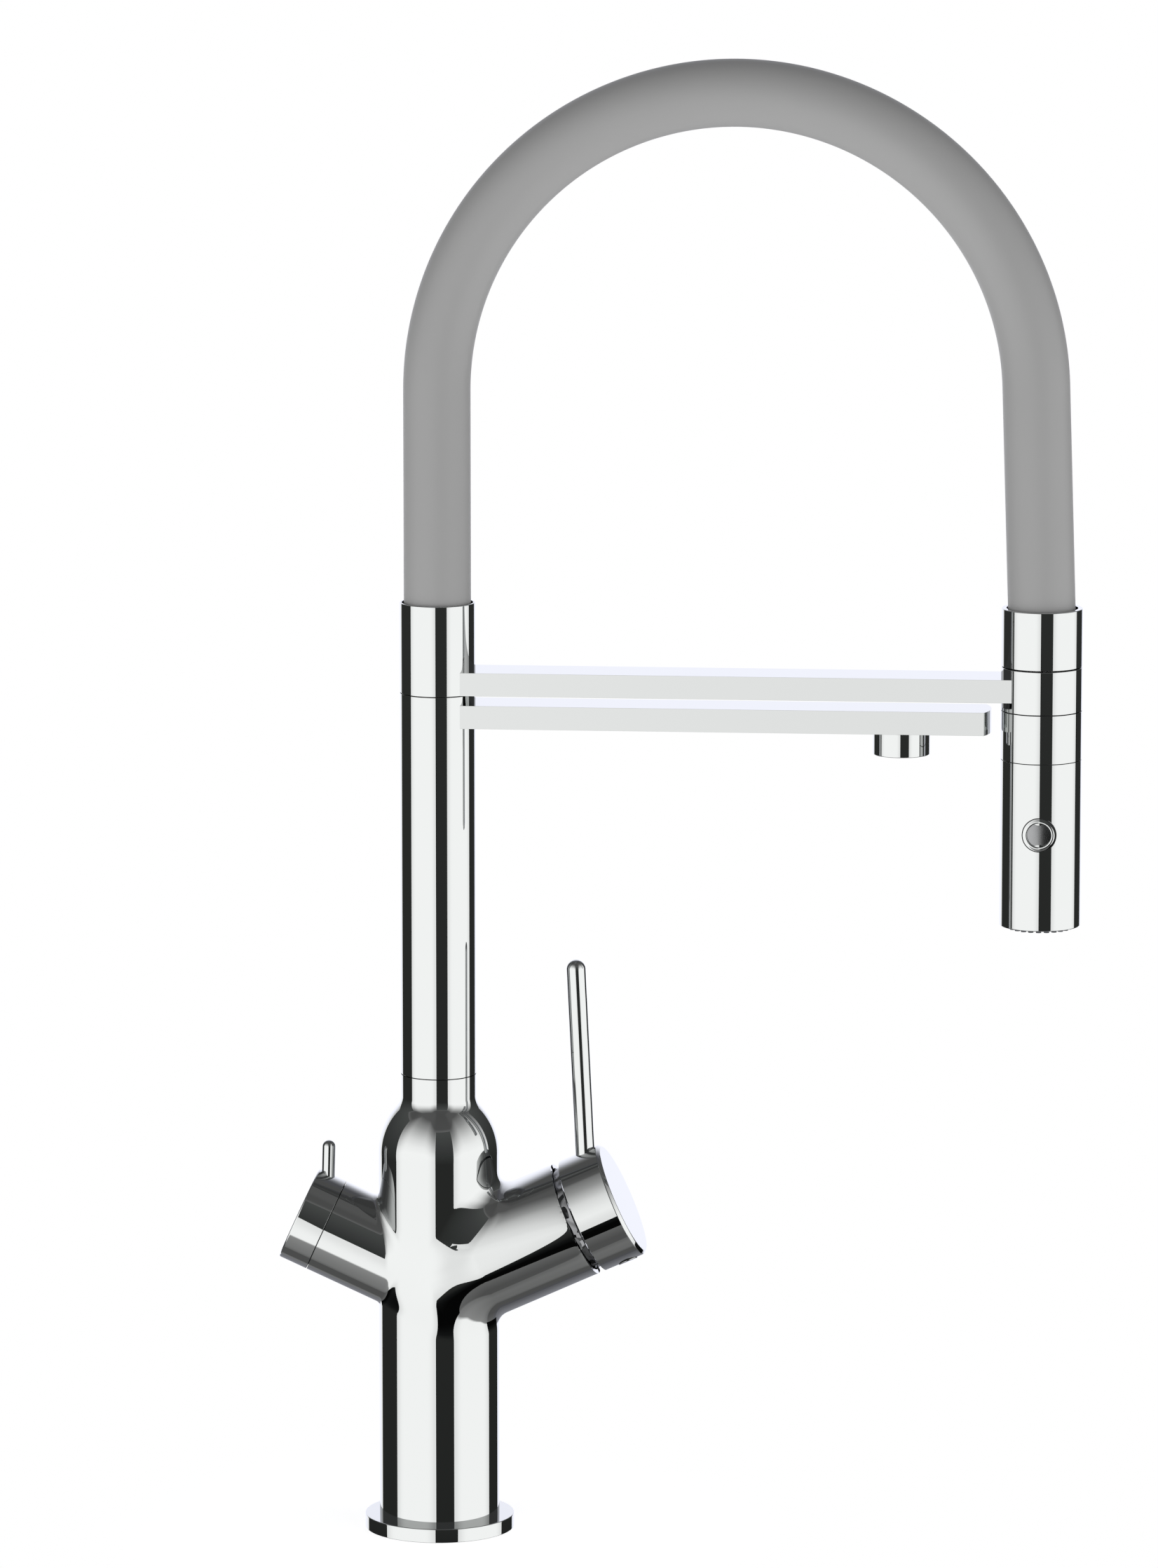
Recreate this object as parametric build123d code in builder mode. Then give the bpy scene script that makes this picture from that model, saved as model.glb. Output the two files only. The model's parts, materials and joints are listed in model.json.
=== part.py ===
from build123d import *
import math
import os

os.makedirs("parts", exist_ok=True)

# A three-way kitchen tap. The origin is the centre of its foot on the worktop, +Z is up,
# the arms reach towards +X and the user stands at -Y. All sizes are in millimetres.

# Running fits, seams, and how far a cut runs out of its piece
turning_fit = 0.05
seam_gap = 0.3
fine_seam_gap = 0.2
overrun = 1.0
same_place = 0.01

# Foot and body
flange_step = 5.55
flange_height = 5.25
flange_edge = 0.3
foot_step = 3.45
foot_fit = 0.1
seal_inset = 3.5
seal_width = 3.5
seal_height = 2.0
body_r = 22.45
body_foot_edge = 0.8
shoulder_z = 143.0
shoulder_r = 26.3
neck_round = 6.0
neck_rise = 30.4
barrel_round = 4.0

# Supply sockets in the foot
socket_r = 4.5
socket_depth = 12.0
stud_hole_r = 3.4
stud_hole_depth = 15.0
supply_x = 9.0
supply_y = 9.5
side_socket_x = -3.5
side_socket_y = 12.6
filter_socket_x = -12.5
channel_r = 3.0
port_r = 2.8
mixed_corner_drop = 15.0

# Spray hose and the passage it runs through
spray_hose_r = 5.0
spray_hose_bore_r = 3.0
passage_room = 0.6
guide_room = 0.25
guide_wall = 1.75
guide_height = 6.0

# Riser and its two swivels
riser_r = 14.0
riser_wall = 1.0
riser_length = 143.9
neck_wall = 2.5
neck_socket_depth = 23.25
swivel_r = 9.5
swivel_room = 0.4
lower_swivel_length = 29.6
upper_swivel_length = 19.7
snap_ring_width = 1.6
snap_ring_rise = 0.9
snap_groove_depth = 0.6
snap_ring_play = 0.1
snap_ring_drop = 6.0
o_ring_section_r = 0.6
o_ring_distance = 4.0
chamber_rise = 10.75
chamber_height = 4.0
chamber_depth = 2.0
cross_channel_x = -7.5
cross_channel_r = 1.4
riser_channel_r = 0.95
riser_channel_wall = 0.2
bush_head_length = 9.7
bush_head_room = 1.0
water_tube_x = 9.4
water_tube_r = 2.5
water_tube_wall = 0.8
water_tube_seat = 2.0
upper_spigot_length = 21.0

# Arms
arm_width = 21.0
arm_height = 8.6
arm_gap = 3.65
reach = 223.6
lower_arm_gap = 3.45
lower_arm_end_r = 25.0
tenon_r = 4.0
tenon_wall = 1.0
arm_channel_r = 2.0
outlet_inset = 33.2
outlet_r = 10.56
outlet_length = 8.7
outlet_wall = 1.96
outlet_stub_r = 7.0
outlet_stub_length = 4.4
aerator_height = 5.5
aerator_inset = 0.5
aerator_ring_count = 2
aerator_first_count = 6
aerator_ring_share = 0.36
aerator_hole_share = 0.12

# Sleeve and the arch of hose above it
sleeve_length = 33.7
sleeve_wall = 0.8
sleeve_edge = 0.3
hose_room = 0.77
hose_wall = 2.83
sleeve_seat_depth = 13.0
hose_leg_length = 79.0
hose_splay = 1.87
grip_length = 8.0
spring_clearance = 0.1
spring_wall = 1.4

# Column of the spray: connector, ring, collar and spray body
head_r = 14.95
ring_rise = 12.7
ring_length = 16.4
connector_length = 21.6
connector_seat_depth = 13.6
collar_length = 18.1
spray_length = 62.4
spray_edge = 0.4
connector_gap = 0.4
connector_spigot_step = 3.45
connector_spigot_length = 8.0
ring_bore_r = 9.0
magnet_rim = 1.75
magnet_height = 3.8
magnet_inset = 0.3
tail_guide_wall = 2.75
tail_guide_length = 12.0
tail_r = 4.6
ferrule_wall = 1.2
ferrule_length = 13.5
stem_r = 6.0
stem_flange_step = 2.0
stem_flange_height = 3.0
stem_bore_r = 2.2
stem_plug_length = 12.0
stem_neck_length = 7.0
barb_length = 14.0
stem_lift = 0.5
stem_seal_rise = 3.0
stem_seal_pitch = 4.0
stem_seal_r = 0.7
valve_r = 3.6
valve_bore_r = 1.2
valve_length = 8.0
washer_play = 0.2
washer_height = 2.8
washer_inset = 0.25
shell_wall = 1.75
collar_thread_length = 7.1
core_neck_length = 7.3
core_fit = 0.1
core_lift = 9.9
core_rim = 1.0

# Button and its spool
button_drop = 26.1
bezel_r = 6.4
bezel_width = 1.9
bezel_front = 0.45
bezel_depth = 5.0
bezel_edge = 0.7
button_play = 0.06
button_length = 5.5
button_travel = 1.5
button_inset = 0.25
spring_tube_play = 0.5
spring_tube_wall = 1.2
spring_pressed_length = 1.4
spool_r = 2.2
spool_length = 16.0

# Spray face
face_inset = 0.9
face_thickness = 3.0
nozzle_r = 1.0
nozzle_hole_r = 0.4
nozzle_length = 5.5
nozzle_drop = 1.9
nozzle_rim = 1.0
nozzle_circle_step = 2.8
outer_nozzle_count = 24
inner_nozzle_count = 18
face_aerator_rim = 1.4
face_aerator_length = 7.0

# Mixer barrel and lever
barrel_z = 95.4
barrel_tilt = 24.4
mixer_step = 0.35
mixer_length = 56.3
mixer_gap = 3.2
cap_length = 16.5
cap_edge = 1.15
cap_wall = 1.7
cap_hollow_depth = 3.0
cartridge_length = 28.0
cartridge_r = 17.5
cartridge_fit = 0.1
cartridge_wall = 3.5
cartridge_base = 4.0
inlet_radial = -6.0
outlet_radial = 11.0
port_seal_wall = 1.4
port_seal_height = 1.0
ceramic_height = 3.0
disc_port_r = 1.4
disc_gap = 0.05
sliding_disc_r = 11.5
sliding_disc_height = 4.0
tip_recess_r = 3.3
tip_recess_depth = 2.4
carrier_gap = 0.5
carrier_play = 0.1
carrier_slot_length = 12.0
pivot_rise = 21.0
pivot_pin_r = 1.5
nut_length = 4.3
nut_flange_step = 2.1
nut_flange_height = 2.5
nut_bore_r = 10.0
stem_width = 8.0
stem_foot_gap = 1.2
stem_depth_in_cap = 11.5
stem_tip_r = 3.0
stem_tip_gap = 0.6
rod_r = 3.6
rod_root_along = 10.2
rod_root_drop = 1.3
rod_top_along = 37.5
rod_top_rise = 67.6
rod_seat_depth = 8.4
plug_r = 3.75
plug_turn = 13.0
plug_length = 2.5
plug_proud = 0.3
set_screw_r = 2.5
set_screw_length = 8.0
set_screw_along = 9.1

# Filtered-water barrel and knob
filter_step = 4.45
filter_seam_s = 46.5
knob_length = 11.3
knob_edge = 0.5
headwork_length = 28.5
headwork_r = 10.0
headwork_flange_depth = 6.5
headwork_flange_r = 14.0
headwork_flange_height = 5.5
headwork_base = 2.0
headwork_wall = 2.0
filter_disc_height = 2.5
filter_disc_port_r = 2.0
filter_disc_port_x = 4.0
spindle_r = 4.0
spindle_flange_height = 2.0
spindle_inset = 3.8
side_window_rise = 6.0
filter_outlet_channel_r = 1.5
pin_r = 2.45
pin_root_setback = 4.6
pin_root_drop = 1.5
pin_top_along = 1.1
pin_top_rise = 12.0
pin_seat_depth = 10.0
knob_screw_r = 2.0
knob_screw_setback = 6.3
knob_screw_inset = 7.0

# Places and fits that follow from the sizes above
tilt = math.radians(barrel_tilt)
mixer_plane = Plane(
    origin=(0, 0, barrel_z),
    x_dir=(-math.sin(tilt), 0, math.cos(tilt)),
    z_dir=(math.cos(tilt), 0, math.sin(tilt)),
)
filter_plane = Plane(
    origin=(0, 0, barrel_z),
    x_dir=(math.sin(tilt), 0, math.cos(tilt)),
    z_dir=(-math.cos(tilt), 0, math.sin(tilt)),
)
foot_r = body_r - foot_step
flange_r = body_r + flange_step
mixer_r = body_r - mixer_step
filter_r = body_r - filter_step
seal_outer_r = flange_r - seal_inset
seal_inner_r = seal_outer_r - seal_width
hose_passage_r = spray_hose_r + passage_room
guide_bore_r = spray_hose_r + guide_room
guide_r = guide_bore_r + guide_wall
neck_r = riser_r
lower_seam_z = shoulder_z + neck_rise
upper_seam_z = lower_seam_z + riser_length
neck_top_z = lower_seam_z - seam_gap / 2
neck_socket_r = neck_r - neck_wall
neck_socket_z = neck_top_z - neck_socket_depth
riser_foot_z = lower_seam_z + seam_gap / 2
riser_top_z = upper_seam_z - seam_gap / 2
riser_bore_r = riser_r - riser_wall
sleeve_foot_z = upper_seam_z + seam_gap / 2
sleeve_top_z = upper_seam_z + sleeve_length
sleeve_bore_r = riser_r - sleeve_wall
swivel_bore_r = spray_hose_r + swivel_room
swivel_top_z = neck_top_z + lower_swivel_length
upper_swivel_top_z = riser_top_z + upper_swivel_length
bush_bore_r = swivel_r + turning_fit
bush_head_bore_r = spray_hose_r + bush_head_room
snap_ring_r = swivel_r + snap_ring_rise
chamber_z = neck_top_z + chamber_rise
chamber_r = swivel_r + chamber_depth
riser_channel_x = riser_bore_r - riser_channel_wall - riser_channel_r
lower_bush_shoulder_z = swivel_top_z + seam_gap
lower_bush_top_z = lower_bush_shoulder_z + bush_head_length
water_tube_foot_z = lower_bush_shoulder_z + water_tube_seat
lower_snap_z = swivel_top_z - snap_ring_drop
upper_snap_z = upper_swivel_top_z - snap_ring_drop
lower_arm_top_z = sleeve_foot_z - arm_gap
lower_arm_foot_z = lower_arm_top_z - arm_height
lower_arm_reach = reach - head_r - lower_arm_gap
filter_reach = lower_arm_reach - outlet_inset
arm_channel_z = lower_arm_foot_z + arm_height / 2
tenon_foot_x = hose_passage_r + tenon_wall
outlet_foot_z = lower_arm_foot_z - outlet_length
aerator_r = outlet_r - outlet_wall
hose_r = sleeve_bore_r - hose_room
hose_start_z = sleeve_top_z - sleeve_seat_depth
hose_centre_z = sleeve_top_z + hose_leg_length
spring_r = hose_r - hose_wall - spring_clearance
ring_top_z = upper_seam_z + ring_rise
ring_foot_z = ring_top_z - ring_length
connector_foot_z = ring_top_z + connector_gap / 2
connector_top_z = ring_top_z + connector_length
connector_spigot_r = head_r - connector_spigot_step
hose_end_z = connector_top_z - connector_seat_depth
tail_guide_r = guide_bore_r + tail_guide_wall
tail_top_z = hose_centre_z
magnet_r = head_r - magnet_rim
washer_r = magnet_r - washer_play
collar_thread_r = head_r - shell_wall
collar_top_z = ring_foot_z - seam_gap / 2
collar_foot_z = ring_foot_z - collar_length
spray_top_z = collar_foot_z - fine_seam_gap
spray_foot_z = collar_foot_z - spray_length
core_top_z = collar_foot_z - collar_thread_length
core_foot_z = spray_foot_z + core_lift
stem_flange_r = stem_r + stem_flange_step
button_z = spray_top_z - button_drop
bezel_bore_r = bezel_r - bezel_width
spring_tube_r = bezel_bore_r - spring_tube_play
outer_nozzle_circle_r = collar_thread_r - nozzle_rim - nozzle_r
inner_nozzle_circle_r = outer_nozzle_circle_r - nozzle_circle_step
face_aerator_r = inner_nozzle_circle_r - nozzle_r - face_aerator_rim
cap_s = mixer_length + mixer_gap
cap_end_s = cap_s + cap_length
cap_hollow_r = mixer_r - cap_wall
nut_flange_r = mixer_r - nut_flange_step
nut_s = mixer_length - nut_length
cartridge_floor = nut_s - cartridge_length
pivot_s = cartridge_floor + pivot_rise
rod_root_s = cap_s + rod_root_along
rod_root_radial = mixer_r - rod_root_drop
rod_top_s = cap_s + rod_top_along
rod_top_radial = mixer_r + rod_top_rise
set_screw_s = cap_s + set_screw_along
knob_s = filter_seam_s + seam_gap / 2
knob_end_s = filter_seam_s + knob_length
headwork_floor = filter_seam_s - headwork_length
headwork_flange_s = filter_seam_s - headwork_flange_depth
disc_chamber_r = headwork_r - headwork_wall
side_window_s = headwork_floor + side_window_rise
spindle_end_s = knob_end_s - spindle_inset
pin_root_s = knob_end_s - pin_root_setback
pin_root_radial = filter_r - pin_root_drop
pin_top_s = knob_end_s + pin_top_along
pin_top_radial = filter_r + pin_top_rise
pin_seat_radial = filter_r - pin_seat_depth
knob_screw_s = knob_end_s - knob_screw_setback
knob_screw_length = filter_r - spindle_r - knob_screw_inset


def at_body(z):
    """Level plane on the axis of the body."""
    return Plane(origin=(0, 0, z))


def at_head(z):
    """Level plane on the axis of the spray."""
    return Plane(origin=(reach, 0, z))


def on_mixer(along, radial=0.0, side=0.0):
    """Point given by its place along the mixer barrel, up from its axis and towards the user."""
    return mixer_plane.from_local_coords((radial, side, along))


def on_filter(along, radial=0.0, side=0.0):
    """Point given by its place along the filtered-water barrel, up from its axis and sideways."""
    return filter_plane.from_local_coords((radial, side, along))


def bar(plane, radius, length, mode=Mode.ADD):
    """Round bar, or with Mode.SUBTRACT a round hole, standing on a plane."""
    with BuildSketch(plane) as section:
        Circle(radius)
    extrude(section.sketch, amount=length, mode=mode)


def tube(plane, outer_r, inner_r, length, mode=Mode.ADD):
    """Tube, or with Mode.SUBTRACT an inner groove, standing on a plane."""
    with BuildSketch(plane) as section:
        Circle(outer_r)
        Circle(inner_r, mode=Mode.SUBTRACT)
    extrude(section.sketch, amount=length, mode=mode)


def between(start, end, radius, mode=Mode.ADD):
    """Round bar or drilled hole between two points."""
    way = Vector(end) - Vector(start)
    bar(Plane(origin=start, z_dir=way), radius, way.length, mode)


def perforate(plane, radius, length):
    """Rings of small holes through an aerator, set out by their share of its radius."""
    with BuildSketch(plane) as holes:
        for ring in range(1, aerator_ring_count + 1):
            with PolarLocations(ring * aerator_ring_share * radius, ring * aerator_first_count):
                Circle(aerator_hole_share * radius)
    extrude(holes.sketch, amount=length, mode=Mode.SUBTRACT)


def rims(piece, plane, radius):
    """Circular edges of a piece that lie in a plane and have the given radius."""
    found = piece.edges().filter_by(GeomType.CIRCLE)
    found = found.filter_by(lambda edge: abs(edge.radius - radius) < same_place)
    return found.filter_by(lambda edge: abs(plane.to_local_coords(edge.arc_center).Z) < same_place)


# Foot

with BuildPart() as base_seal:
    tube(at_body(0), seal_outer_r, seal_inner_r, seal_height)

with BuildPart() as base_flange:
    tube(at_body(0), flange_r, foot_r + foot_fit, flange_height)
    tube(at_body(0), seal_outer_r, seal_inner_r, seal_height, Mode.SUBTRACT)
    chamfer(rims(base_flange, at_body(flange_height), flange_r), flange_edge)

with BuildPart() as hose_guide:
    tube(at_body(0), guide_r, guide_bore_r, guide_height)

# Body casting: a turned column with a shoulder and a neck, two slanting barrels blended into it,
# and the waterways drilled in it

shoulder_centre_x = body_r - shoulder_r
shoulder_rise = math.sqrt(shoulder_r**2 - (neck_r - shoulder_centre_x) ** 2)
shoulder_angle = math.degrees(math.atan2(shoulder_rise, neck_r - shoulder_centre_x))
mixed_mouth = on_mixer(cartridge_floor, outlet_radial)
mixed_corner = Vector(side_socket_x, side_socket_y, mixed_mouth.Z - mixed_corner_drop)
supply_bend_s = (supply_x + inlet_radial * math.sin(tilt)) / math.cos(tilt)

with BuildPart() as body_casting:
    with BuildSketch(Plane.XZ):
        with BuildLine():
            Line((0, 0), (foot_r, 0))
            Line((foot_r, 0), (foot_r, flange_height))
            Line((foot_r, flange_height), (body_r - body_foot_edge, flange_height))
            Line(
                (body_r - body_foot_edge, flange_height),
                (body_r, flange_height + body_foot_edge),
            )
            Line((body_r, flange_height + body_foot_edge), (body_r, shoulder_z))
            shoulder = CenterArc((shoulder_centre_x, shoulder_z), shoulder_r, 0, shoulder_angle)
            Line(shoulder @ 1, (neck_r, neck_top_z))
            Line((neck_r, neck_top_z), (0, neck_top_z))
            Line((0, neck_top_z), (0, 0))
        make_face()
        crease = (neck_r, shoulder_z + shoulder_rise, 0)
        fillet(vertices().sort_by_distance(crease)[0], neck_round)
    revolve(axis=Axis.Z)
    for plane, radius, length in (
        (mixer_plane, mixer_r, mixer_length),
        (filter_plane, filter_r, filter_seam_s - seam_gap / 2),
    ):
        before = set(body_casting.edges())
        bar(plane, radius, length)
        added = [edge for edge in body_casting.edges() if edge not in before]
        crotch = [e for e in added if e.geom_type not in (GeomType.CIRCLE, GeomType.LINE)]
        fillet(crotch, barrel_round)
    # Sockets of the swivel, the cartridge and the headwork
    bar(at_body(neck_socket_z), neck_socket_r, neck_top_z - neck_socket_z, Mode.SUBTRACT)
    bar(
        mixer_plane.offset(cartridge_floor),
        cartridge_r + cartridge_fit,
        mixer_length - cartridge_floor,
        Mode.SUBTRACT,
    )
    bar(
        filter_plane.offset(headwork_floor),
        headwork_r,
        filter_seam_s - headwork_floor,
        Mode.SUBTRACT,
    )
    bar(
        filter_plane.offset(headwork_flange_s),
        headwork_flange_r,
        filter_seam_s - headwork_flange_s,
        Mode.SUBTRACT,
    )
    # Passage of the spray hose and seat of its guide
    bar(at_body(0), hose_passage_r, neck_socket_z, Mode.SUBTRACT)
    bar(at_body(0), guide_r, guide_height, Mode.SUBTRACT)
    # Threaded sockets in the foot
    with Locations(
        (supply_x, supply_y, 0),
        (supply_x, -supply_y, 0),
        (side_socket_x, side_socket_y, 0),
        (filter_socket_x, 0, 0),
    ):
        Cylinder(
            socket_r,
            socket_depth,
            align=(Align.CENTER, Align.CENTER, Align.MIN),
            mode=Mode.SUBTRACT,
        )
    bar(
        Plane(origin=(side_socket_x, -side_socket_y, 0)),
        stud_hole_r,
        stud_hole_depth,
        Mode.SUBTRACT,
    )
    # Hot and cold ways up to the cartridge
    for side in (supply_y, -supply_y):
        bend = on_mixer(supply_bend_s, inlet_radial, side)
        foot = (bend.X, bend.Y, socket_depth)
        between(foot, bend, channel_r, Mode.SUBTRACT)
        between(bend, on_mixer(cartridge_floor, inlet_radial, side), port_r, Mode.SUBTRACT)
    # Mixed water back down to its socket, where the spray hose starts
    between(mixed_corner, mixed_mouth, port_r, Mode.SUBTRACT)
    foot = (side_socket_x, side_socket_y, socket_depth)
    between(foot, mixed_corner, channel_r, Mode.SUBTRACT)
    # Filtered water up to its headwork, and on from there to the swivel
    foot = (filter_socket_x, 0, socket_depth)
    between(foot, on_filter(headwork_floor), channel_r, Mode.SUBTRACT)
    between(
        on_filter(side_window_s, headwork_r - filter_outlet_channel_r),
        (cross_channel_x, 0, neck_socket_z),
        filter_outlet_channel_r,
        Mode.SUBTRACT,
    )

# Swivel spigot of the riser, with the way for filtered water beside the hose

with BuildPart() as swivel_spigot:
    bar(at_body(neck_socket_z), neck_socket_r, neck_top_z - neck_socket_z)
    bar(at_body(neck_top_z), swivel_r, lower_swivel_length)
    bar(at_body(neck_socket_z), swivel_bore_r, swivel_top_z - neck_socket_z, Mode.SUBTRACT)
    chamber_middle_z = chamber_z + chamber_height / 2
    between(
        (cross_channel_x, 0, neck_socket_z),
        (cross_channel_x, 0, chamber_middle_z),
        cross_channel_r,
        Mode.SUBTRACT,
    )
    between(
        (cross_channel_x, 0, chamber_middle_z),
        (-neck_socket_r, 0, chamber_middle_z),
        cross_channel_r,
        Mode.SUBTRACT,
    )
    tube(
        at_body(lower_snap_z - snap_ring_play),
        swivel_r,
        swivel_r - snap_groove_depth,
        snap_ring_width + 2 * snap_ring_play,
        Mode.SUBTRACT,
    )

# Mixer cartridge

cartridge_bore_r = cartridge_r - cartridge_wall
fixed_disc_s = cartridge_floor + cartridge_base
sliding_disc_s = fixed_disc_s + ceramic_height + disc_gap
carrier_s = sliding_disc_s + sliding_disc_height + carrier_gap
cartridge_ports = (
    (inlet_radial, supply_y),
    (inlet_radial, -supply_y),
    (outlet_radial, 0),
)

with BuildPart() as mixer_cartridge:
    bar(mixer_plane.offset(cartridge_floor), cartridge_r, cartridge_length)
    bar(
        mixer_plane.offset(fixed_disc_s),
        cartridge_bore_r,
        cartridge_length - cartridge_base,
        Mode.SUBTRACT,
    )
    with BuildSketch(mixer_plane.offset(cartridge_floor)):
        with Locations(*cartridge_ports):
            Circle(port_r)
    extrude(amount=cartridge_base, mode=Mode.SUBTRACT)
    with BuildSketch(mixer_plane.offset(cartridge_floor)):
        with Locations(*cartridge_ports):
            Circle(port_r + port_seal_wall)
    extrude(amount=port_seal_height, mode=Mode.SUBTRACT)

with BuildPart() as cartridge_seals:
    with BuildSketch(mixer_plane.offset(cartridge_floor)):
        with Locations(*cartridge_ports):
            Circle(port_r + port_seal_wall)
            Circle(port_r, mode=Mode.SUBTRACT)
    extrude(amount=port_seal_height)

with BuildPart() as fixed_disc:
    bar(mixer_plane.offset(fixed_disc_s), cartridge_bore_r - carrier_play, ceramic_height)
    with BuildSketch(mixer_plane.offset(fixed_disc_s)):
        with Locations((inlet_radial, supply_y), (inlet_radial, -supply_y)):
            Circle(disc_port_r)
        with Locations((outlet_radial - port_r, 0)):
            Circle(port_r)
    extrude(amount=ceramic_height, mode=Mode.SUBTRACT)

with BuildPart() as sliding_disc:
    bar(mixer_plane.offset(sliding_disc_s), sliding_disc_r, sliding_disc_height)
    bar(
        mixer_plane.offset(sliding_disc_s + sliding_disc_height - tip_recess_depth),
        tip_recess_r,
        tip_recess_depth,
        Mode.SUBTRACT,
    )

with BuildPart() as cartridge_nut:
    bar(mixer_plane.offset(nut_s), cartridge_r + cartridge_fit, mixer_length - nut_s)
    bar(mixer_plane.offset(mixer_length), nut_flange_r, nut_flange_height)
    bar(
        mixer_plane.offset(nut_s),
        nut_bore_r,
        mixer_length + nut_flange_height - nut_s,
        Mode.SUBTRACT,
    )

with BuildPart() as lever_carrier:
    carrier_length = nut_s - seam_gap - carrier_s
    bar(mixer_plane.offset(carrier_s), cartridge_bore_r - carrier_play, carrier_length)
    with BuildSketch(mixer_plane.offset(carrier_s)):
        Rectangle(carrier_slot_length, stem_width + 2 * turning_fit)
    extrude(amount=carrier_length, mode=Mode.SUBTRACT)
    between(
        on_mixer(pivot_s, 0, -cartridge_bore_r),
        on_mixer(pivot_s, 0, cartridge_bore_r),
        pivot_pin_r,
        Mode.SUBTRACT,
    )

with BuildPart() as stem_pivot_pin:
    pin_half = cartridge_bore_r - 2 * carrier_play
    between(on_mixer(pivot_s, 0, -pin_half), on_mixer(pivot_s, 0, pin_half), pivot_pin_r)

# Lever: stem, cap, rod and the screw that clamps the cap to the stem

stem_foot_s = carrier_s + stem_foot_gap - carrier_gap
stem_end_s = cap_s + stem_depth_in_cap
tip_s = sliding_disc_s + sliding_disc_height - tip_recess_depth + stem_tip_gap

with BuildPart() as cartridge_stem:
    with BuildSketch(mixer_plane.offset(stem_foot_s)):
        Rectangle(stem_width, stem_width)
    extrude(amount=stem_end_s - stem_foot_s)
    bar(mixer_plane.offset(tip_s), stem_tip_r, stem_foot_s - tip_s)
    between(
        on_mixer(pivot_s, 0, -stem_width),
        on_mixer(pivot_s, 0, stem_width),
        pivot_pin_r + turning_fit,
        Mode.SUBTRACT,
    )

rod_way = Vector(rod_top_s - rod_root_s, rod_top_radial - rod_root_radial, 0).normalized()
rod_seat_s = rod_root_s - rod_way.X * rod_seat_depth
rod_seat_radial = rod_root_radial - rod_way.Y * rod_seat_depth
rod_ball_s = rod_top_s - rod_way.X * rod_r
rod_ball_radial = rod_top_radial - rod_way.Y * rod_r
plug_angle = math.radians(plug_turn)


def on_screw(radial):
    """Point on the axis of the clamping screw, on the underside of the cap."""
    return on_mixer(set_screw_s, -radial * math.cos(plug_angle), radial * math.sin(plug_angle))


with BuildPart() as lever_rod:
    between(
        on_mixer(rod_seat_s, rod_seat_radial),
        on_mixer(rod_ball_s, rod_ball_radial),
        rod_r,
    )
    with Locations(on_mixer(rod_ball_s, rod_ball_radial)):
        Sphere(rod_r)

with BuildPart() as lever_cap:
    bar(mixer_plane.offset(cap_s), mixer_r, cap_length)
    chamfer(rims(lever_cap, mixer_plane.offset(cap_end_s), mixer_r), cap_edge)
    bar(mixer_plane.offset(cap_s), cap_hollow_r, cap_hollow_depth, Mode.SUBTRACT)
    with BuildSketch(mixer_plane.offset(cap_s)):
        Rectangle(stem_width, stem_width)
    extrude(amount=stem_depth_in_cap, mode=Mode.SUBTRACT)
    between(
        on_mixer(rod_seat_s, rod_seat_radial),
        on_mixer(rod_top_s, rod_top_radial),
        rod_r,
        Mode.SUBTRACT,
    )
    between(on_screw(0), on_screw(mixer_r), set_screw_r, Mode.SUBTRACT)
    between(
        on_screw(mixer_r + plug_proud - plug_length),
        on_screw(mixer_r + plug_length),
        plug_r,
        Mode.SUBTRACT,
    )

screw_seat = stem_width / 2 / math.cos(plug_angle) + set_screw_r * math.tan(plug_angle)

with BuildPart() as lever_set_screw:
    between(on_screw(screw_seat), on_screw(screw_seat + set_screw_length), set_screw_r)

with BuildPart() as screw_plug:
    between(on_screw(mixer_r + plug_proud - plug_length), on_screw(mixer_r + plug_proud), plug_r)
    chamfer(screw_plug.edges().filter_by(GeomType.CIRCLE).sort_by(Axis.Z)[0], plug_proud)

# Filtered-water tap: headwork, discs, spindle, knob and its pin

filter_disc_s = headwork_floor + headwork_base
turning_disc_s = filter_disc_s + filter_disc_height + disc_gap
spindle_s = turning_disc_s + filter_disc_height
spindle_room_end_s = spindle_s + spindle_flange_height + seam_gap
headwork_end_s = headwork_flange_s + headwork_flange_height

with BuildPart() as filter_headwork:
    bar(filter_plane.offset(headwork_floor), headwork_r, headwork_end_s - headwork_floor)
    bar(filter_plane.offset(headwork_flange_s), headwork_flange_r, headwork_flange_height)
    bar(filter_plane.offset(headwork_floor), channel_r, headwork_base, Mode.SUBTRACT)
    bar(
        filter_plane.offset(filter_disc_s),
        disc_chamber_r,
        spindle_room_end_s - filter_disc_s,
        Mode.SUBTRACT,
    )
    bar(
        filter_plane.offset(spindle_room_end_s),
        spindle_r + turning_fit,
        headwork_end_s - spindle_room_end_s,
        Mode.SUBTRACT,
    )
    between(
        on_filter(side_window_s),
        on_filter(side_window_s, headwork_r),
        filter_outlet_channel_r,
        Mode.SUBTRACT,
    )

with BuildPart() as filter_fixed_disc:
    bar(filter_plane.offset(filter_disc_s), disc_chamber_r - carrier_play, filter_disc_height)
    with BuildSketch(filter_plane.offset(filter_disc_s)):
        with Locations((filter_disc_port_x, 0), (-filter_disc_port_x, 0)):
            Circle(filter_disc_port_r)
    extrude(amount=filter_disc_height, mode=Mode.SUBTRACT)

with BuildPart() as filter_turning_disc:
    bar(filter_plane.offset(turning_disc_s), disc_chamber_r - carrier_play, filter_disc_height)
    with BuildSketch(filter_plane.offset(turning_disc_s)):
        with Locations((0, filter_disc_port_x), (0, -filter_disc_port_x)):
            Circle(filter_disc_port_r)
    extrude(amount=filter_disc_height, mode=Mode.SUBTRACT)

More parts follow.
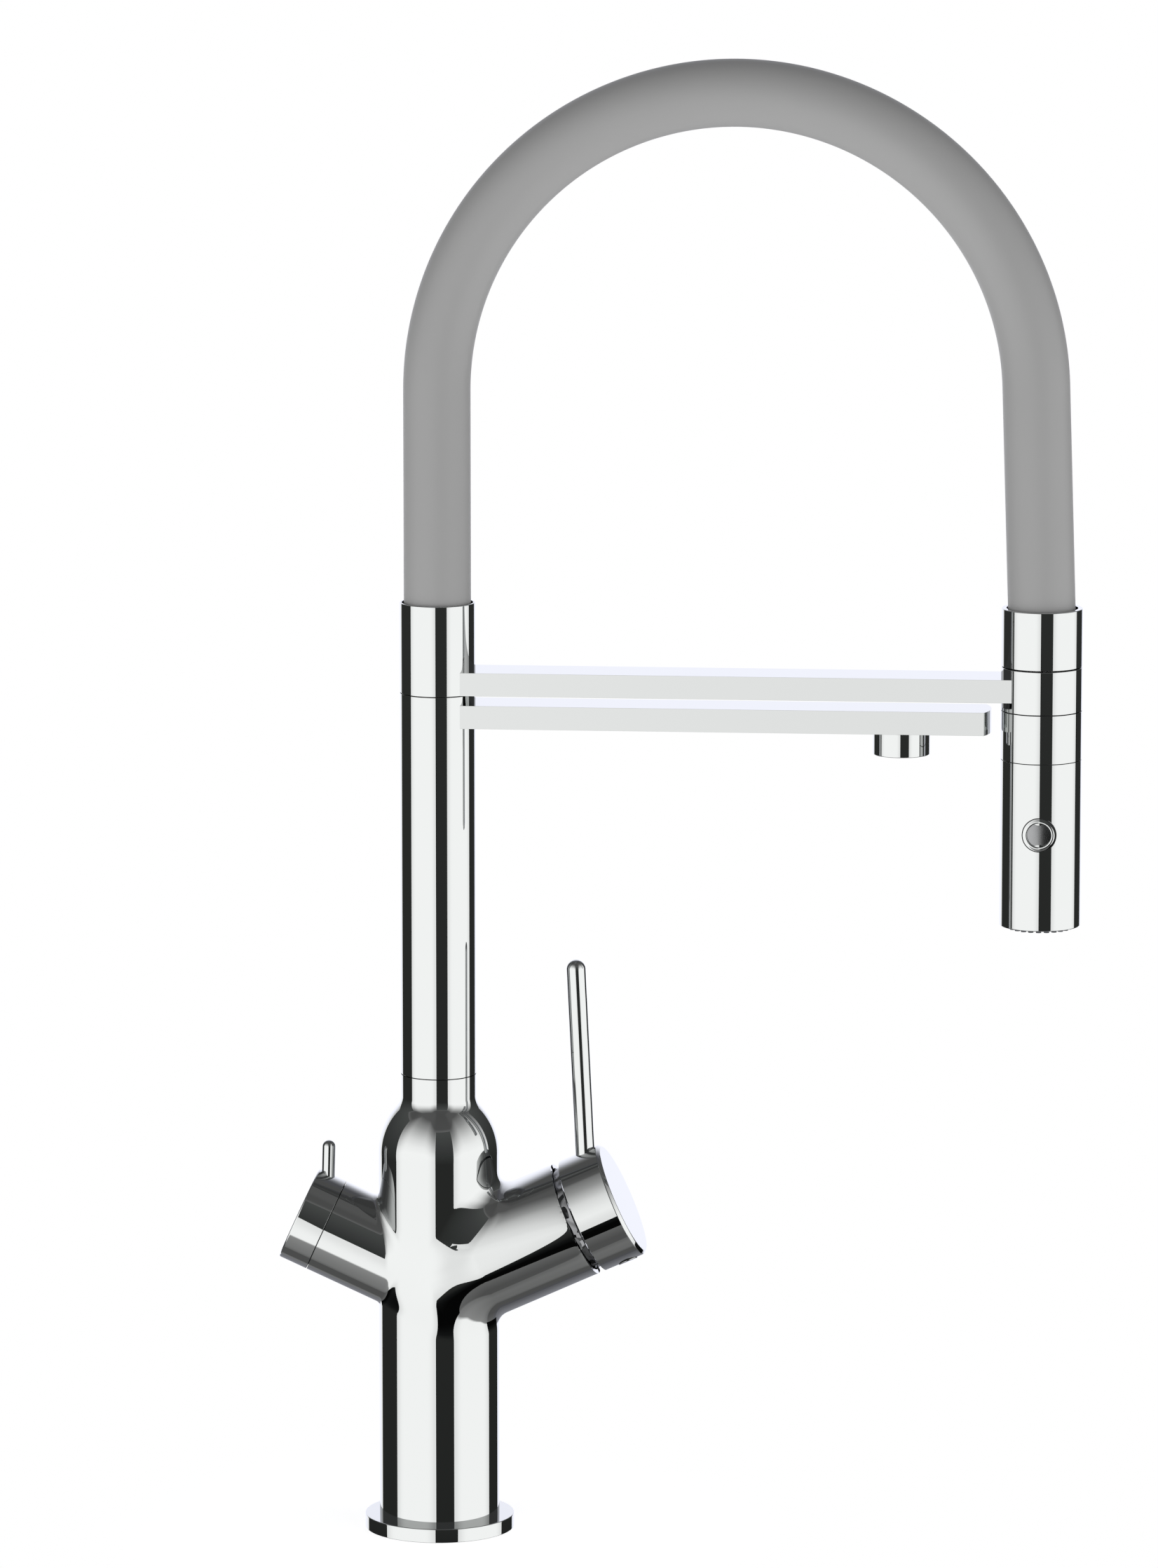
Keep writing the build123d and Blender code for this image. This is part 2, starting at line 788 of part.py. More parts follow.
with BuildPart() as filter_spindle:
    bar(filter_plane.offset(spindle_s), disc_chamber_r - carrier_play, spindle_flange_height)
    bar(filter_plane.offset(spindle_s), spindle_r, spindle_end_s - spindle_s)

with BuildPart() as filter_knob:
    bar(filter_plane.offset(knob_s), filter_r, knob_end_s - knob_s)
    chamfer(rims(filter_knob, filter_plane.offset(knob_end_s), filter_r), knob_edge)
    bar(filter_plane.offset(knob_s), spindle_r, spindle_end_s - knob_s, Mode.SUBTRACT)
    knob_pin_way = Vector(pin_top_s - pin_root_s, pin_top_radial - pin_root_radial, 0).normalized()
    pin_seat_s = pin_root_s - knob_pin_way.X / knob_pin_way.Y * (pin_root_radial - pin_seat_radial)
    between(
        on_filter(pin_seat_s, pin_seat_radial),
        on_filter(pin_top_s, pin_top_radial),
        pin_r,
        Mode.SUBTRACT,
    )
    between(
        on_filter(knob_screw_s, 0),
        on_filter(knob_screw_s, -filter_r),
        knob_screw_r,
        Mode.SUBTRACT,
    )

with BuildPart() as filter_pin:
    pin_ball_s = pin_top_s - knob_pin_way.X * pin_r
    pin_ball_radial = pin_top_radial - knob_pin_way.Y * pin_r
    between(
        on_filter(pin_seat_s, pin_seat_radial),
        on_filter(pin_ball_s, pin_ball_radial),
        pin_r,
    )
    with Locations(on_filter(pin_ball_s, pin_ball_radial)):
        Sphere(pin_r)

with BuildPart() as filter_set_screw:
    between(
        on_filter(knob_screw_s, -spindle_r),
        on_filter(knob_screw_s, -spindle_r - knob_screw_length),
        knob_screw_r,
    )

# Riser with the bush of its lower swivel and the spigot of its upper one

o_ring_major_r = bush_bore_r + o_ring_section_r
o_ring_levels = (chamber_z - o_ring_distance, chamber_z + chamber_height + o_ring_distance)

with BuildPart() as lower_swivel_bush:
    bar(at_body(riser_foot_z), riser_bore_r, lower_bush_top_z - riser_foot_z)
    bar(
        at_body(riser_foot_z),
        bush_bore_r,
        lower_bush_shoulder_z - riser_foot_z,
        Mode.SUBTRACT,
    )
    bar(
        at_body(lower_bush_shoulder_z),
        bush_head_bore_r,
        bush_head_length,
        Mode.SUBTRACT,
    )
    bar(at_body(chamber_z), chamber_r, chamber_height, Mode.SUBTRACT)
    bar(at_body(lower_snap_z), snap_ring_r, snap_ring_width, Mode.SUBTRACT)
    for level in o_ring_levels:
        bar(
            at_body(level - o_ring_section_r),
            o_ring_major_r + o_ring_section_r,
            2 * o_ring_section_r,
            Mode.SUBTRACT,
        )
    between(
        (riser_channel_x, 0, chamber_middle_z),
        (riser_channel_x, 0, water_tube_foot_z + riser_channel_r),
        riser_channel_r,
        Mode.SUBTRACT,
    )
    between(
        (water_tube_x, 0, water_tube_foot_z),
        (water_tube_x, 0, lower_bush_top_z),
        water_tube_r,
        Mode.SUBTRACT,
    )

with BuildPart() as swivel_o_rings:
    with Locations(*[(0, 0, level) for level in o_ring_levels]):
        Torus(o_ring_major_r, o_ring_section_r)

with BuildPart() as lower_snap_ring:
    tube(
        at_body(lower_snap_z),
        snap_ring_r,
        swivel_r - snap_groove_depth + snap_ring_play,
        snap_ring_width,
    )

with BuildPart() as riser_tube:
    tube(at_body(riser_foot_z), riser_r, riser_bore_r, riser_top_z - riser_foot_z)
    between((0, 0, arm_channel_z), (riser_r, 0, arm_channel_z), tenon_r, Mode.SUBTRACT)

with BuildPart() as filter_water_tube:
    tube(
        Plane(origin=(water_tube_x, 0, water_tube_foot_z)),
        water_tube_r,
        water_tube_r - water_tube_wall,
        arm_channel_z - water_tube_foot_z,
    )

with BuildPart() as upper_spigot:
    bar(at_body(riser_top_z - upper_spigot_length), riser_bore_r, upper_spigot_length)
    bar(at_body(riser_top_z), swivel_r, upper_swivel_length)
    bar(
        at_body(riser_top_z - upper_spigot_length),
        hose_passage_r,
        upper_spigot_length + upper_swivel_length,
        Mode.SUBTRACT,
    )
    between((0, 0, arm_channel_z), (riser_r, 0, arm_channel_z), tenon_r, Mode.SUBTRACT)
    between(
        (water_tube_x, 0, riser_top_z - upper_spigot_length),
        (water_tube_x, 0, arm_channel_z),
        water_tube_r,
        Mode.SUBTRACT,
    )
    tube(
        at_body(upper_snap_z - snap_ring_play),
        swivel_r,
        swivel_r - snap_groove_depth,
        snap_ring_width + 2 * snap_ring_play,
        Mode.SUBTRACT,
    )

# Lower arm with the outlet for filtered water

end_sagitta = lower_arm_end_r - math.sqrt(lower_arm_end_r**2 - (arm_width / 2) ** 2)

with BuildPart() as filtered_water_arm:
    with BuildSketch(at_body(lower_arm_foot_z)):
        with BuildLine():
            corner_x = lower_arm_reach - end_sagitta
            Line((0, arm_width / 2), (0, -arm_width / 2))
            Line((0, -arm_width / 2), (corner_x, -arm_width / 2))
            ThreePointArc(
                (corner_x, -arm_width / 2),
                (lower_arm_reach, 0),
                (corner_x, arm_width / 2),
            )
            Line((corner_x, arm_width / 2), (0, arm_width / 2))
        make_face()
        Circle(riser_r, mode=Mode.SUBTRACT)
    extrude(amount=arm_height)
    between((tenon_foot_x, 0, arm_channel_z), (riser_r + tenon_r, 0, arm_channel_z), tenon_r)
    between(
        (water_tube_x, 0, arm_channel_z),
        (filter_reach, 0, arm_channel_z),
        arm_channel_r,
        Mode.SUBTRACT,
    )
    between(
        (water_tube_x, 0, lower_arm_foot_z),
        (water_tube_x, 0, arm_channel_z),
        water_tube_r,
        Mode.SUBTRACT,
    )
    between(
        (filter_reach, 0, lower_arm_foot_z),
        (filter_reach, 0, lower_arm_foot_z + outlet_stub_length + seam_gap),
        outlet_stub_r,
        Mode.SUBTRACT,
    )

with BuildPart() as filter_outlet:
    at_outlet = Plane(origin=(filter_reach, 0, outlet_foot_z))
    bar(at_outlet, outlet_r, outlet_length)
    bar(at_outlet.offset(outlet_length), outlet_stub_r, outlet_stub_length)
    bar(at_outlet, aerator_r, aerator_height + aerator_inset, Mode.SUBTRACT)
    bar(at_outlet, channel_r, outlet_length + outlet_stub_length, Mode.SUBTRACT)

with BuildPart() as outlet_aerator:
    bar(at_outlet.offset(aerator_inset), aerator_r, aerator_height)
    perforate(at_outlet.offset(aerator_inset), aerator_r, aerator_height)

# Sleeve and bush of the upper swivel

with BuildPart() as upper_sleeve:
    tube(at_body(sleeve_foot_z), riser_r, sleeve_bore_r, sleeve_top_z - sleeve_foot_z)
    tube(at_body(hose_start_z), riser_r, hose_r, grip_length)
    chamfer(rims(upper_sleeve, at_body(sleeve_top_z), riser_r), sleeve_edge)

with BuildPart() as upper_swivel_bush:
    tube(
        at_body(sleeve_foot_z),
        sleeve_bore_r,
        bush_bore_r,
        upper_swivel_top_z - seam_gap - sleeve_foot_z,
    )
    bar(at_body(upper_snap_z), snap_ring_r, snap_ring_width, Mode.SUBTRACT)

with BuildPart() as upper_snap_ring:
    tube(
        at_body(upper_snap_z),
        snap_ring_r,
        swivel_r - snap_groove_depth + snap_ring_play,
        snap_ring_width,
    )

# Upper arm

with BuildPart() as holder_arm:
    with BuildSketch(at_body(sleeve_foot_z)):
        with Locations((reach / 2, 0)):
            Rectangle(reach, arm_width)
        Circle(riser_r, mode=Mode.SUBTRACT)
        with Locations((reach, 0)):
            Circle(head_r, mode=Mode.SUBTRACT)
    extrude(amount=arm_height)

# Arch of the hose: up from the sleeve, one arc over, and down with a little splay

splay = math.radians(hose_splay)
leg_drop = hose_centre_z - (hose_end_z + connector_top_z) / 2
arch_r = (reach - leg_drop * math.tan(splay)) / (
    1 + math.cos(splay) + math.sin(splay) * math.tan(splay)
)
arch_end_x = arch_r + arch_r * math.cos(splay)
arch_end_z = hose_centre_z + arch_r * math.sin(splay)


def leg_end(z):
    """Point of the splayed leg at a height."""
    return (arch_end_x + (arch_end_z - z) * math.tan(splay), z)


def arch_tube(outer_r, inner_r, start_z, end_z=None):
    """Tube along the arch, from a height on the first leg to a height on the splayed leg."""
    with BuildLine(Plane.XZ) as route:
        Line((0, start_z), (0, hose_centre_z))
        CenterArc((arch_r, hose_centre_z), arch_r, 180, hose_splay - 180)
        if end_z is not None:
            Line((arch_end_x, arch_end_z), leg_end(end_z))
    with BuildSketch(at_body(start_z)) as section:
        Circle(outer_r)
        Circle(inner_r, mode=Mode.SUBTRACT)
    sweep(section.sketch, path=route.line)
    return sum(edge.length for edge in route.edges())


with BuildPart() as silicone_hose:
    hose_length = arch_tube(hose_r, hose_r - hose_wall, hose_start_z, hose_end_z)

with BuildPart() as support_spring:
    arch_tube(spring_r, spring_r - spring_wall, hose_start_z, hose_end_z)

with BuildPart() as inner_hose:
    arch_tube(spray_hose_r, spray_hose_bore_r, 0)

# Holder ring, its magnet and the connector of the hose above it

leg_way = Vector(math.sin(splay), 0, -math.cos(splay))
leg_foot = Vector(leg_end(hose_end_z)[0], 0, hose_end_z)
leg_plane = Plane(origin=leg_foot, z_dir=-leg_way)

with BuildPart() as holder_ring:
    ring_low_z = ring_foot_z + seam_gap / 2
    ring_high_z = ring_top_z - connector_gap / 2
    bar(at_head(ring_low_z), head_r, ring_high_z - ring_low_z)
    chamfer(rims(holder_ring, at_head(ring_high_z), head_r), spray_edge)
    bar(at_head(ring_low_z), ring_bore_r, ring_length, Mode.SUBTRACT)
    bar(at_head(ring_low_z), magnet_r, magnet_height + magnet_inset, Mode.SUBTRACT)
    bar(
        at_head(connector_foot_z - connector_spigot_length),
        connector_spigot_r,
        connector_spigot_length,
        Mode.SUBTRACT,
    )

with BuildPart() as holder_magnet:
    tube(at_head(ring_low_z + magnet_inset), magnet_r, ring_bore_r, magnet_height)

with BuildPart() as hose_connector:
    bar(at_head(connector_foot_z), head_r, connector_top_z - connector_foot_z)
    chamfer(rims(hose_connector, at_head(connector_top_z), head_r), sleeve_edge)
    bar(
        at_head(connector_foot_z - connector_spigot_length),
        connector_spigot_r,
        connector_spigot_length,
    )
    bar(
        at_head(connector_foot_z - connector_spigot_length),
        tail_guide_r,
        hose_end_z + overrun - connector_foot_z + connector_spigot_length,
        Mode.SUBTRACT,
    )
    bar(leg_plane, hose_r, connector_length, Mode.SUBTRACT)
    bar(
        leg_plane.offset(grip_length),
        sleeve_bore_r,
        connector_length,
        Mode.SUBTRACT,
    )

with BuildPart() as tail_guide:
    tube(
        at_head(connector_foot_z - connector_spigot_length),
        tail_guide_r,
        guide_bore_r,
        tail_guide_length,
    )

# Stem of the spray: hose tail, ferrule, brass nipple, seals and check valve

stem_flange_z = collar_foot_z + stem_lift
stem_neck_z = stem_flange_z + stem_flange_height
barb_z = stem_neck_z + stem_neck_length
stem_foot_z = stem_flange_z - stem_plug_length

with BuildPart() as stem_nipple:
    bar(at_head(stem_foot_z), stem_r, barb_z - stem_foot_z)
    bar(at_head(stem_flange_z), stem_flange_r, stem_flange_height)
    bar(at_head(barb_z), spray_hose_bore_r, barb_length)
    bar(at_head(stem_foot_z), stem_bore_r, barb_z + barb_length - stem_foot_z, Mode.SUBTRACT)
    bar(at_head(stem_foot_z), valve_r, valve_length, Mode.SUBTRACT)
    seal_levels = [stem_foot_z + stem_seal_rise + turn * stem_seal_pitch for turn in range(2)]
    for level in seal_levels:
        tube(
            at_head(level - stem_seal_r),
            stem_r,
            stem_r - 2 * stem_seal_r,
            2 * stem_seal_r,
            Mode.SUBTRACT,
        )

with BuildPart() as stem_seals:
    with Locations(*[(reach, 0, level) for level in seal_levels]):
        Torus(stem_r - stem_seal_r, stem_seal_r)

with BuildPart() as check_valve:
    tube(at_head(stem_foot_z), valve_r, valve_bore_r, valve_length)

with BuildPart() as hose_tail:
    tube(at_head(barb_z), tail_r, spray_hose_bore_r, tail_top_z - barb_z)

with BuildPart() as hose_ferrule:
    tube(at_head(barb_z), tail_r + ferrule_wall, tail_r, ferrule_length)

# Spray: collar with the steel docking washer, body shell and the core that carries the water

with BuildPart() as spray_collar:
    bar(at_head(collar_foot_z), head_r, collar_top_z - collar_foot_z)
    bar(at_head(core_top_z), collar_thread_r, collar_thread_length)
    bar(
        at_head(core_top_z),
        stem_flange_r + seam_gap,
        stem_neck_z + seam_gap - core_top_z,
        Mode.SUBTRACT,
    )
    bar(
        at_head(stem_neck_z),
        stem_r + turning_fit,
        stem_neck_length,
        Mode.SUBTRACT,
    )
    bar(at_head(barb_z - overrun), ring_bore_r, collar_top_z - barb_z + overrun, Mode.SUBTRACT)
    bar(
        at_head(collar_top_z - washer_inset - washer_height),
        washer_r,
        washer_height + washer_inset,
        Mode.SUBTRACT,
    )

with BuildPart() as docking_washer:
    tube(
        at_head(collar_top_z - washer_inset - washer_height),
        washer_r,
        ring_bore_r,
        washer_height,
    )

at_button = Plane(origin=(reach, -head_r - bezel_front, button_z), z_dir=(0, 1, 0))
pocket_depth = button_inset + button_length + button_travel + spring_pressed_length

with BuildPart() as flow_core:
    bar(at_head(core_foot_z), collar_thread_r - core_fit, core_top_z - core_foot_z)
    bar(at_head(core_top_z), stem_flange_r, core_neck_length)
    bar(
        at_head(stem_foot_z - overrun),
        stem_r + turning_fit,
        core_top_z + core_neck_length - stem_foot_z + overrun,
        Mode.SUBTRACT,
    )
    bar(at_head(core_foot_z), channel_r, stem_foot_z - core_foot_z, Mode.SUBTRACT)
    bar(at_button, bezel_bore_r, pocket_depth, Mode.SUBTRACT)
    bar(at_button, bezel_r, bezel_depth, Mode.SUBTRACT)
    bar(
        at_button,
        spool_r + turning_fit,
        button_inset + button_length + spool_length + 2 * button_travel,
        Mode.SUBTRACT,
    )
    tube(
        at_head(core_foot_z),
        outer_nozzle_circle_r + nozzle_r,
        face_aerator_r + core_rim,
        face_aerator_length,
        Mode.SUBTRACT,
    )

with BuildPart() as spray_body:
    tube(at_head(spray_foot_z), head_r, collar_thread_r, spray_top_z - spray_foot_z)
    chamfer(rims(spray_body, at_head(spray_foot_z), head_r), spray_edge)
    bar(at_button, bezel_r, head_r, Mode.SUBTRACT)

with BuildPart() as button_bezel:
    bar(at_button, bezel_r, bezel_depth)
    chamfer(rims(button_bezel, at_button, bezel_r), bezel_edge)
    bar(at_button, bezel_bore_r, bezel_depth, Mode.SUBTRACT)

with BuildPart() as spray_button:
    bar(at_button.offset(button_inset), bezel_bore_r - button_play, button_length)

with BuildPart() as diverter_spool:
    bar(at_button.offset(button_inset + button_length), spool_r, spool_length)

with BuildPart() as button_spring:
    tube(
        at_button.offset(button_inset + button_length),
        spring_tube_r,
        spring_tube_r - spring_tube_wall,
        spring_pressed_length,
    )

# Spray face with soft nozzles around an aerator

face_z = spray_foot_z + face_inset
nozzle_circles = (
    (outer_nozzle_circle_r, outer_nozzle_count),
    (inner_nozzle_circle_r, inner_nozzle_count),
)

with BuildPart() as spray_face:
    bar(at_head(face_z), collar_thread_r, face_thickness)
    bar(at_head(face_z), face_aerator_r, face_thickness, Mode.SUBTRACT)
    for circle_r, count in nozzle_circles:
        with BuildSketch(at_head(face_z)):
            with PolarLocations(circle_r, count):
                Circle(nozzle_r)
        extrude(amount=face_thickness, mode=Mode.SUBTRACT)

with BuildPart() as spray_nozzles:
    for circle_r, count in nozzle_circles:
        with BuildSketch(at_head(face_z - nozzle_drop)):
            with PolarLocations(circle_r, count):
                Circle(nozzle_r)
                Circle(nozzle_hole_r, mode=Mode.SUBTRACT)
        extrude(amount=nozzle_length)

with BuildPart() as spray_aerator:
    bar(at_head(face_z), face_aerator_r, face_aerator_length)
    perforate(at_head(face_z), face_aerator_r, face_aerator_length)

pieces = {
    "base_seal": base_seal,
    "base_flange": base_flange,
    "hose_guide": hose_guide,
    "body_casting": body_casting,
    "swivel_spigot": swivel_spigot,
    "mixer_cartridge": mixer_cartridge,
    "cartridge_seals": cartridge_seals,
    "fixed_disc": fixed_disc,
    "sliding_disc": sliding_disc,
    "cartridge_nut": cartridge_nut,
    "lever_carrier": lever_carrier,
    "stem_pivot_pin": stem_pivot_pin,
    "cartridge_stem": cartridge_stem,
    "lever_cap": lever_cap,
    "lever_rod": lever_rod,
    "lever_set_screw": lever_set_screw,
    "screw_plug": screw_plug,
    "filter_headwork": filter_headwork,
    "filter_fixed_disc": filter_fixed_disc,
    "filter_turning_disc": filter_turning_disc,
    "filter_spindle": filter_spindle,
    "filter_knob": filter_knob,
    "filter_pin": filter_pin,
    "filter_set_screw": filter_set_screw,
    "lower_swivel_bush": lower_swivel_bush,
    "swivel_o_rings": swivel_o_rings,
    "lower_snap_ring": lower_snap_ring,
    "riser_tube": riser_tube,
    "filter_water_tube": filter_water_tube,
    "upper_spigot": upper_spigot,
    "filtered_water_arm": filtered_water_arm,
    "filter_outlet": filter_outlet,
    "outlet_aerator": outlet_aerator,
    "upper_sleeve": upper_sleeve,
    "upper_swivel_bush": upper_swivel_bush,
    "upper_snap_ring": upper_snap_ring,
    "holder_arm": holder_arm,
    "silicone_hose": silicone_hose,
    "support_spring": support_spring,
    "inner_hose": inner_hose,
    "holder_ring": holder_ring,
    "holder_magnet": holder_magnet,
    "hose_connector": hose_connector,
    "tail_guide": tail_guide,
    "stem_nipple": stem_nipple,
    "stem_seals": stem_seals,
    "check_valve": check_valve,
    "hose_tail": hose_tail,
    "hose_ferrule": hose_ferrule,
    "spray_collar": spray_collar,
    "docking_washer": docking_washer,
    "flow_core": flow_core,
    "spray_body": spray_body,
    "button_bezel": button_bezel,
    "spray_button": spray_button,
    "diverter_spool": diverter_spool,
    "button_spring": button_spring,
    "spray_face": spray_face,
    "spray_nozzles": spray_nozzles,
    "spray_aerator": spray_aerator,
}
for name, piece in pieces.items():
    piece.part.label = name
    export_step(piece.part, f"parts/{name}.step")

print(f"{len(pieces)} pieces, silicone hose {hose_length:.1f} mm long, arch radius {arch_r:.2f} mm")
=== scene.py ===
# %% [markdown]
# # A three-way kitchen tap
# A tall kitchen tap has a turned body with two slanting barrels, a riser, two arms, an arch of
# grey silicone hose and a spray that hangs under the upper arm. Almost all of it is polished
# chrome, which has no look of its own: the eye reads its shape from the edges of what it mirrors.
# So the work lies in clean surfaces, fine edges at each seam, and a studio that is worth mirroring.
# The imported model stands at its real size, and each piece below is made where its node already is.

# %% Load the frame
import json
import math

import bmesh
import bpy
import numpy as np
from mathutils import Matrix
from mathutils import Vector

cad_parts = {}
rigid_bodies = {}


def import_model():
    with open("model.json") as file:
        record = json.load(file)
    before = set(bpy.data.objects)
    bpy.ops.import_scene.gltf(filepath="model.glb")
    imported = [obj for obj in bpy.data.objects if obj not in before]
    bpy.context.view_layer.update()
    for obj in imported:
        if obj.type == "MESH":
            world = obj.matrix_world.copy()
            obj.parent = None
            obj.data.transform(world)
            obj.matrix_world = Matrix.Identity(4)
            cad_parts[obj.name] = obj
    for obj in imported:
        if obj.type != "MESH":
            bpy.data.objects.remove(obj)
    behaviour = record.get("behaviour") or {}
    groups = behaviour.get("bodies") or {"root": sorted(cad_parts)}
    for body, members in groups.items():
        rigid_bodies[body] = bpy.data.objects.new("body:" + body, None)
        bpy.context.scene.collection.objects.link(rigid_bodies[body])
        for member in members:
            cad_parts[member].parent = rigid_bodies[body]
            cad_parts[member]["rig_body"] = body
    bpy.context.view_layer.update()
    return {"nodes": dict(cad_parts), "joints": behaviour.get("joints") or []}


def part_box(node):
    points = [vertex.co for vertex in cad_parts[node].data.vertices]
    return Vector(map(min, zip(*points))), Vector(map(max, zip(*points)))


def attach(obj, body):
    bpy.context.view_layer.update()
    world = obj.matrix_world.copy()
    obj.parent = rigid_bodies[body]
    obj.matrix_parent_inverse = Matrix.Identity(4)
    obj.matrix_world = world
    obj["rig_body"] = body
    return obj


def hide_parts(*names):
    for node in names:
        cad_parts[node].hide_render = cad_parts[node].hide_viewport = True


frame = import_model()
scene = bpy.context.scene
mm = 0.001

# %% [markdown]
# ## The camera
# The view is a product view: a long lens a few metres off, a little to the right of the tap and
# looking slightly down. A long lens keeps the column and the spray nearly parallel.

# %% Camera
image_height = 2237
focal_length_pixels = 12866
sensor_size = 36
camera_place = (0.33175, -3.28440, 0.83839)
camera_yaw = 0.0848
camera_pitch = 0.1668
farthest_seen = 200

camera = bpy.data.objects.new("camera", bpy.data.cameras.new("camera"))
camera.data.sensor_width = sensor_size
camera.data.lens = focal_length_pixels * sensor_size / image_height
camera.data.clip_end = farthest_seen
camera.location = camera_place
camera.rotation_euler = (math.pi / 2 - camera_pitch, 0, camera_yaw)
scene.collection.objects.link(camera)
scene.camera = camera
print("lens:", round(camera.data.lens, 2), "mm")

# %% [markdown]
# ## Colours and nodes
# Colours are written as sRGB hex codes, as a colour picker shows them, and a shader wants them
# linear. Every material is a small graph, so one helper adds a node, sets it and links it.

# %% Helpers for materials


def linear(code):
    """Linear red, green, blue and alpha of an sRGB hex colour."""
    shares = [int(code[place:place + 2], 16) / 255 for place in (1, 3, 5)]
    return tuple(v / 12.92 if v <= 0.04045 else ((v + 0.055) / 1.055) ** 2.4 for v in shares) + (1,)


def add(tree, kind, inputs, **settings):
    """A new node with its settings, and its inputs filled with values or other nodes' outputs."""
    made = tree.nodes.new(kind)
    for name, value in settings.items():
        setattr(made, name, value)
    for name, value in inputs.items():
        if isinstance(value, bpy.types.NodeSocket):
            tree.links.new(value, made.inputs[name])
        else:
            made.inputs[name].default_value = value
    return made


def new_material(name):
    """An empty material and its node tree."""
    material = bpy.data.materials.new(name)
    material.use_nodes = True
    material.node_tree.nodes.clear()
    return material, material.node_tree


def colour_ramp(tree, share, stops, low, high):
    """A ramp of (value, colour) stops between two values, read at a share from 0 to 1."""
    ramp = add(tree, "ShaderNodeValToRGB", {"Fac": share})
    elements = ramp.color_ramp.elements
    elements.remove(elements[1])
    elements[0].color = linear(stops[0][1])
    for value, code in stops[1:]:
        elements.new((value - low) / (high - low)).color = linear(code)
    return ramp.outputs["Color"]


print("chrome white is", [round(v, 3) for v in linear("#F1F3F2")])

# %% [markdown]
# ## The light
# A plain white world is all that the camera sees around the tap, and a strength of 1 is white.
# The Standard view leaves colours as they are written.

# %% World
world = bpy.data.worlds.new("studio white")
world.use_nodes = True
world.node_tree.nodes["Background"].inputs["Color"].default_value = (1, 1, 1, 1)
world.node_tree.nodes["Background"].inputs["Strength"].default_value = 1
scene.world = world
scene.view_settings.view_transform = "Standard"
print("world:", world.name)

# %% [markdown]
# ## The tent
# The tap stands in a tent of white cloth. Chrome in a plain white tent looks like white plastic,
# so a photographer stands black flags in it: each one draws a crisp dark stripe down every upright
# cylinder. Overhead and underfoot the cloth falls off to grey, which gives the slanting barrels
# their dark bands. Beside a flag both greys come nearer to the middle and the cloth darkens a
# little, and the lower grey reaches higher still under a flag and at the back, where the cloth is
# faintly blue, as daylight is. A mirror image of a mirror image is dimmed once more over a dark
# grey: this is painted shade, standing for the shade where two chrome surfaces face each other.
# The tent is far larger than the tap, so that its mirror image keeps its place on every piece.
# Only mirror rays and soft light see it. All angles are in degrees: how far round a place on the
# cloth lies from the front, and how far up.

# %% Tent cloth
flags = {
    "flag_left": (-138, -84),
    "flag_front": (-1, 34),
    "flag_right": (117, 156),
}
cloth_stops = (
    (-90, "#585858"),
    (-66, "#757575"),
    (-47, "#868686"),
    (-42, "#8C8C8C"),
    (-39, "#FCFCFC"),
    (4, "#FFFFFF"),
    (14, "#F5F5F5"),
    (24, "#E0E0E0"),
    (32, "#C6C6C6"),
    (44, "#979797"),
    (60, "#555555"),
    (90, "#515151"),
)
straight_down = -90
straight_up = 90
shade_width = 24
flag_edge = 4
rise_beside_flag = 14
rise_start = -10
rise_full = 10
drop_beside_flag = 6
drop_under_flag = 30
drop_at_back = 20
drop_start = 0
drop_full = -20
back_start = 140
back_full = 150
back_tint = (0.99, 1.0, 1.1)
shade_beside_flag = 0.17
shade_power = 3
light_for_matt = 1.45
# Painted shade where chrome faces chrome: a second mirror gives back about half the light, over dark
# grey.
one_mirror_or_two = 1.5
second_mirror_loss = 0.52
second_mirror_painted_shade = "#2C2C2D"


def directions(tree):
    """How far round from the front and how far up a point of the studio lies, in degrees."""
    place = add(tree, "ShaderNodeTexCoord", {})
    way = add(
        tree, "ShaderNodeVectorMath", {0: place.outputs["Object"]}, operation="NORMALIZE"
    )
    parts = add(tree, "ShaderNodeSeparateXYZ", {"Vector": way.outputs["Vector"]})
    front = add(tree, "ShaderNodeMath", {0: parts.outputs["Y"], 1: -1}, operation="MULTIPLY")
    turn = add(
        tree, "ShaderNodeMath", {0: parts.outputs["X"], 1: front.outputs[0]}, operation="ARCTAN2"
    )
    round_angle = add(tree, "ShaderNodeMath", {0: turn.outputs[0]}, operation="DEGREES")
    slope = add(tree, "ShaderNodeMath", {0: parts.outputs["Z"]}, operation="ARCSINE")
    up_angle = add(tree, "ShaderNodeMath", {0: slope.outputs[0]}, operation="DEGREES")
    return round_angle.outputs[0], up_angle.outputs[0]


def share_between(tree, value, low, high, kind="LINEAR"):
    """0 at one value and 1 at another, held beyond them."""
    made = add(
        tree,
        "ShaderNodeMapRange",
        {"Value": value, "From Min": low, "From Max": high},
        interpolation_type=kind,
    )
    return made.outputs["Result"]


def spread(tree, share, low, high):
    """One value at a share of 0 and another at a share of 1."""
    made = add(tree, "ShaderNodeMapRange", {"Value": share, "To Min": low, "To Max": high})
    return made.outputs["Result"]


def sum_of(tree, first, second, operation="ADD"):
    """Result of an arithmetic step on two values or outputs."""
    return add(tree, "ShaderNodeMath", {0: first, 1: second}, operation=operation).outputs[0]


def painted_shade_when_mirrored_twice(tree, colour):
    """A colour that two mirrors in a row give back at half its light, mixed with dark grey: painted
    shade.
    """
    rays = add(tree, "ShaderNodeLightPath", {})
    twice = sum_of(tree, rays.outputs["Glossy Depth"], one_mirror_or_two, "GREATER_THAN")
    dim = spread(tree, twice, 0, second_mirror_loss)
    mixed = add(
        tree,
        "ShaderNodeMix",
        {"Factor": dim, 6: colour, 7: linear(second_mirror_painted_shade)},
        data_type="RGBA",
    )
    return mixed.outputs[2]


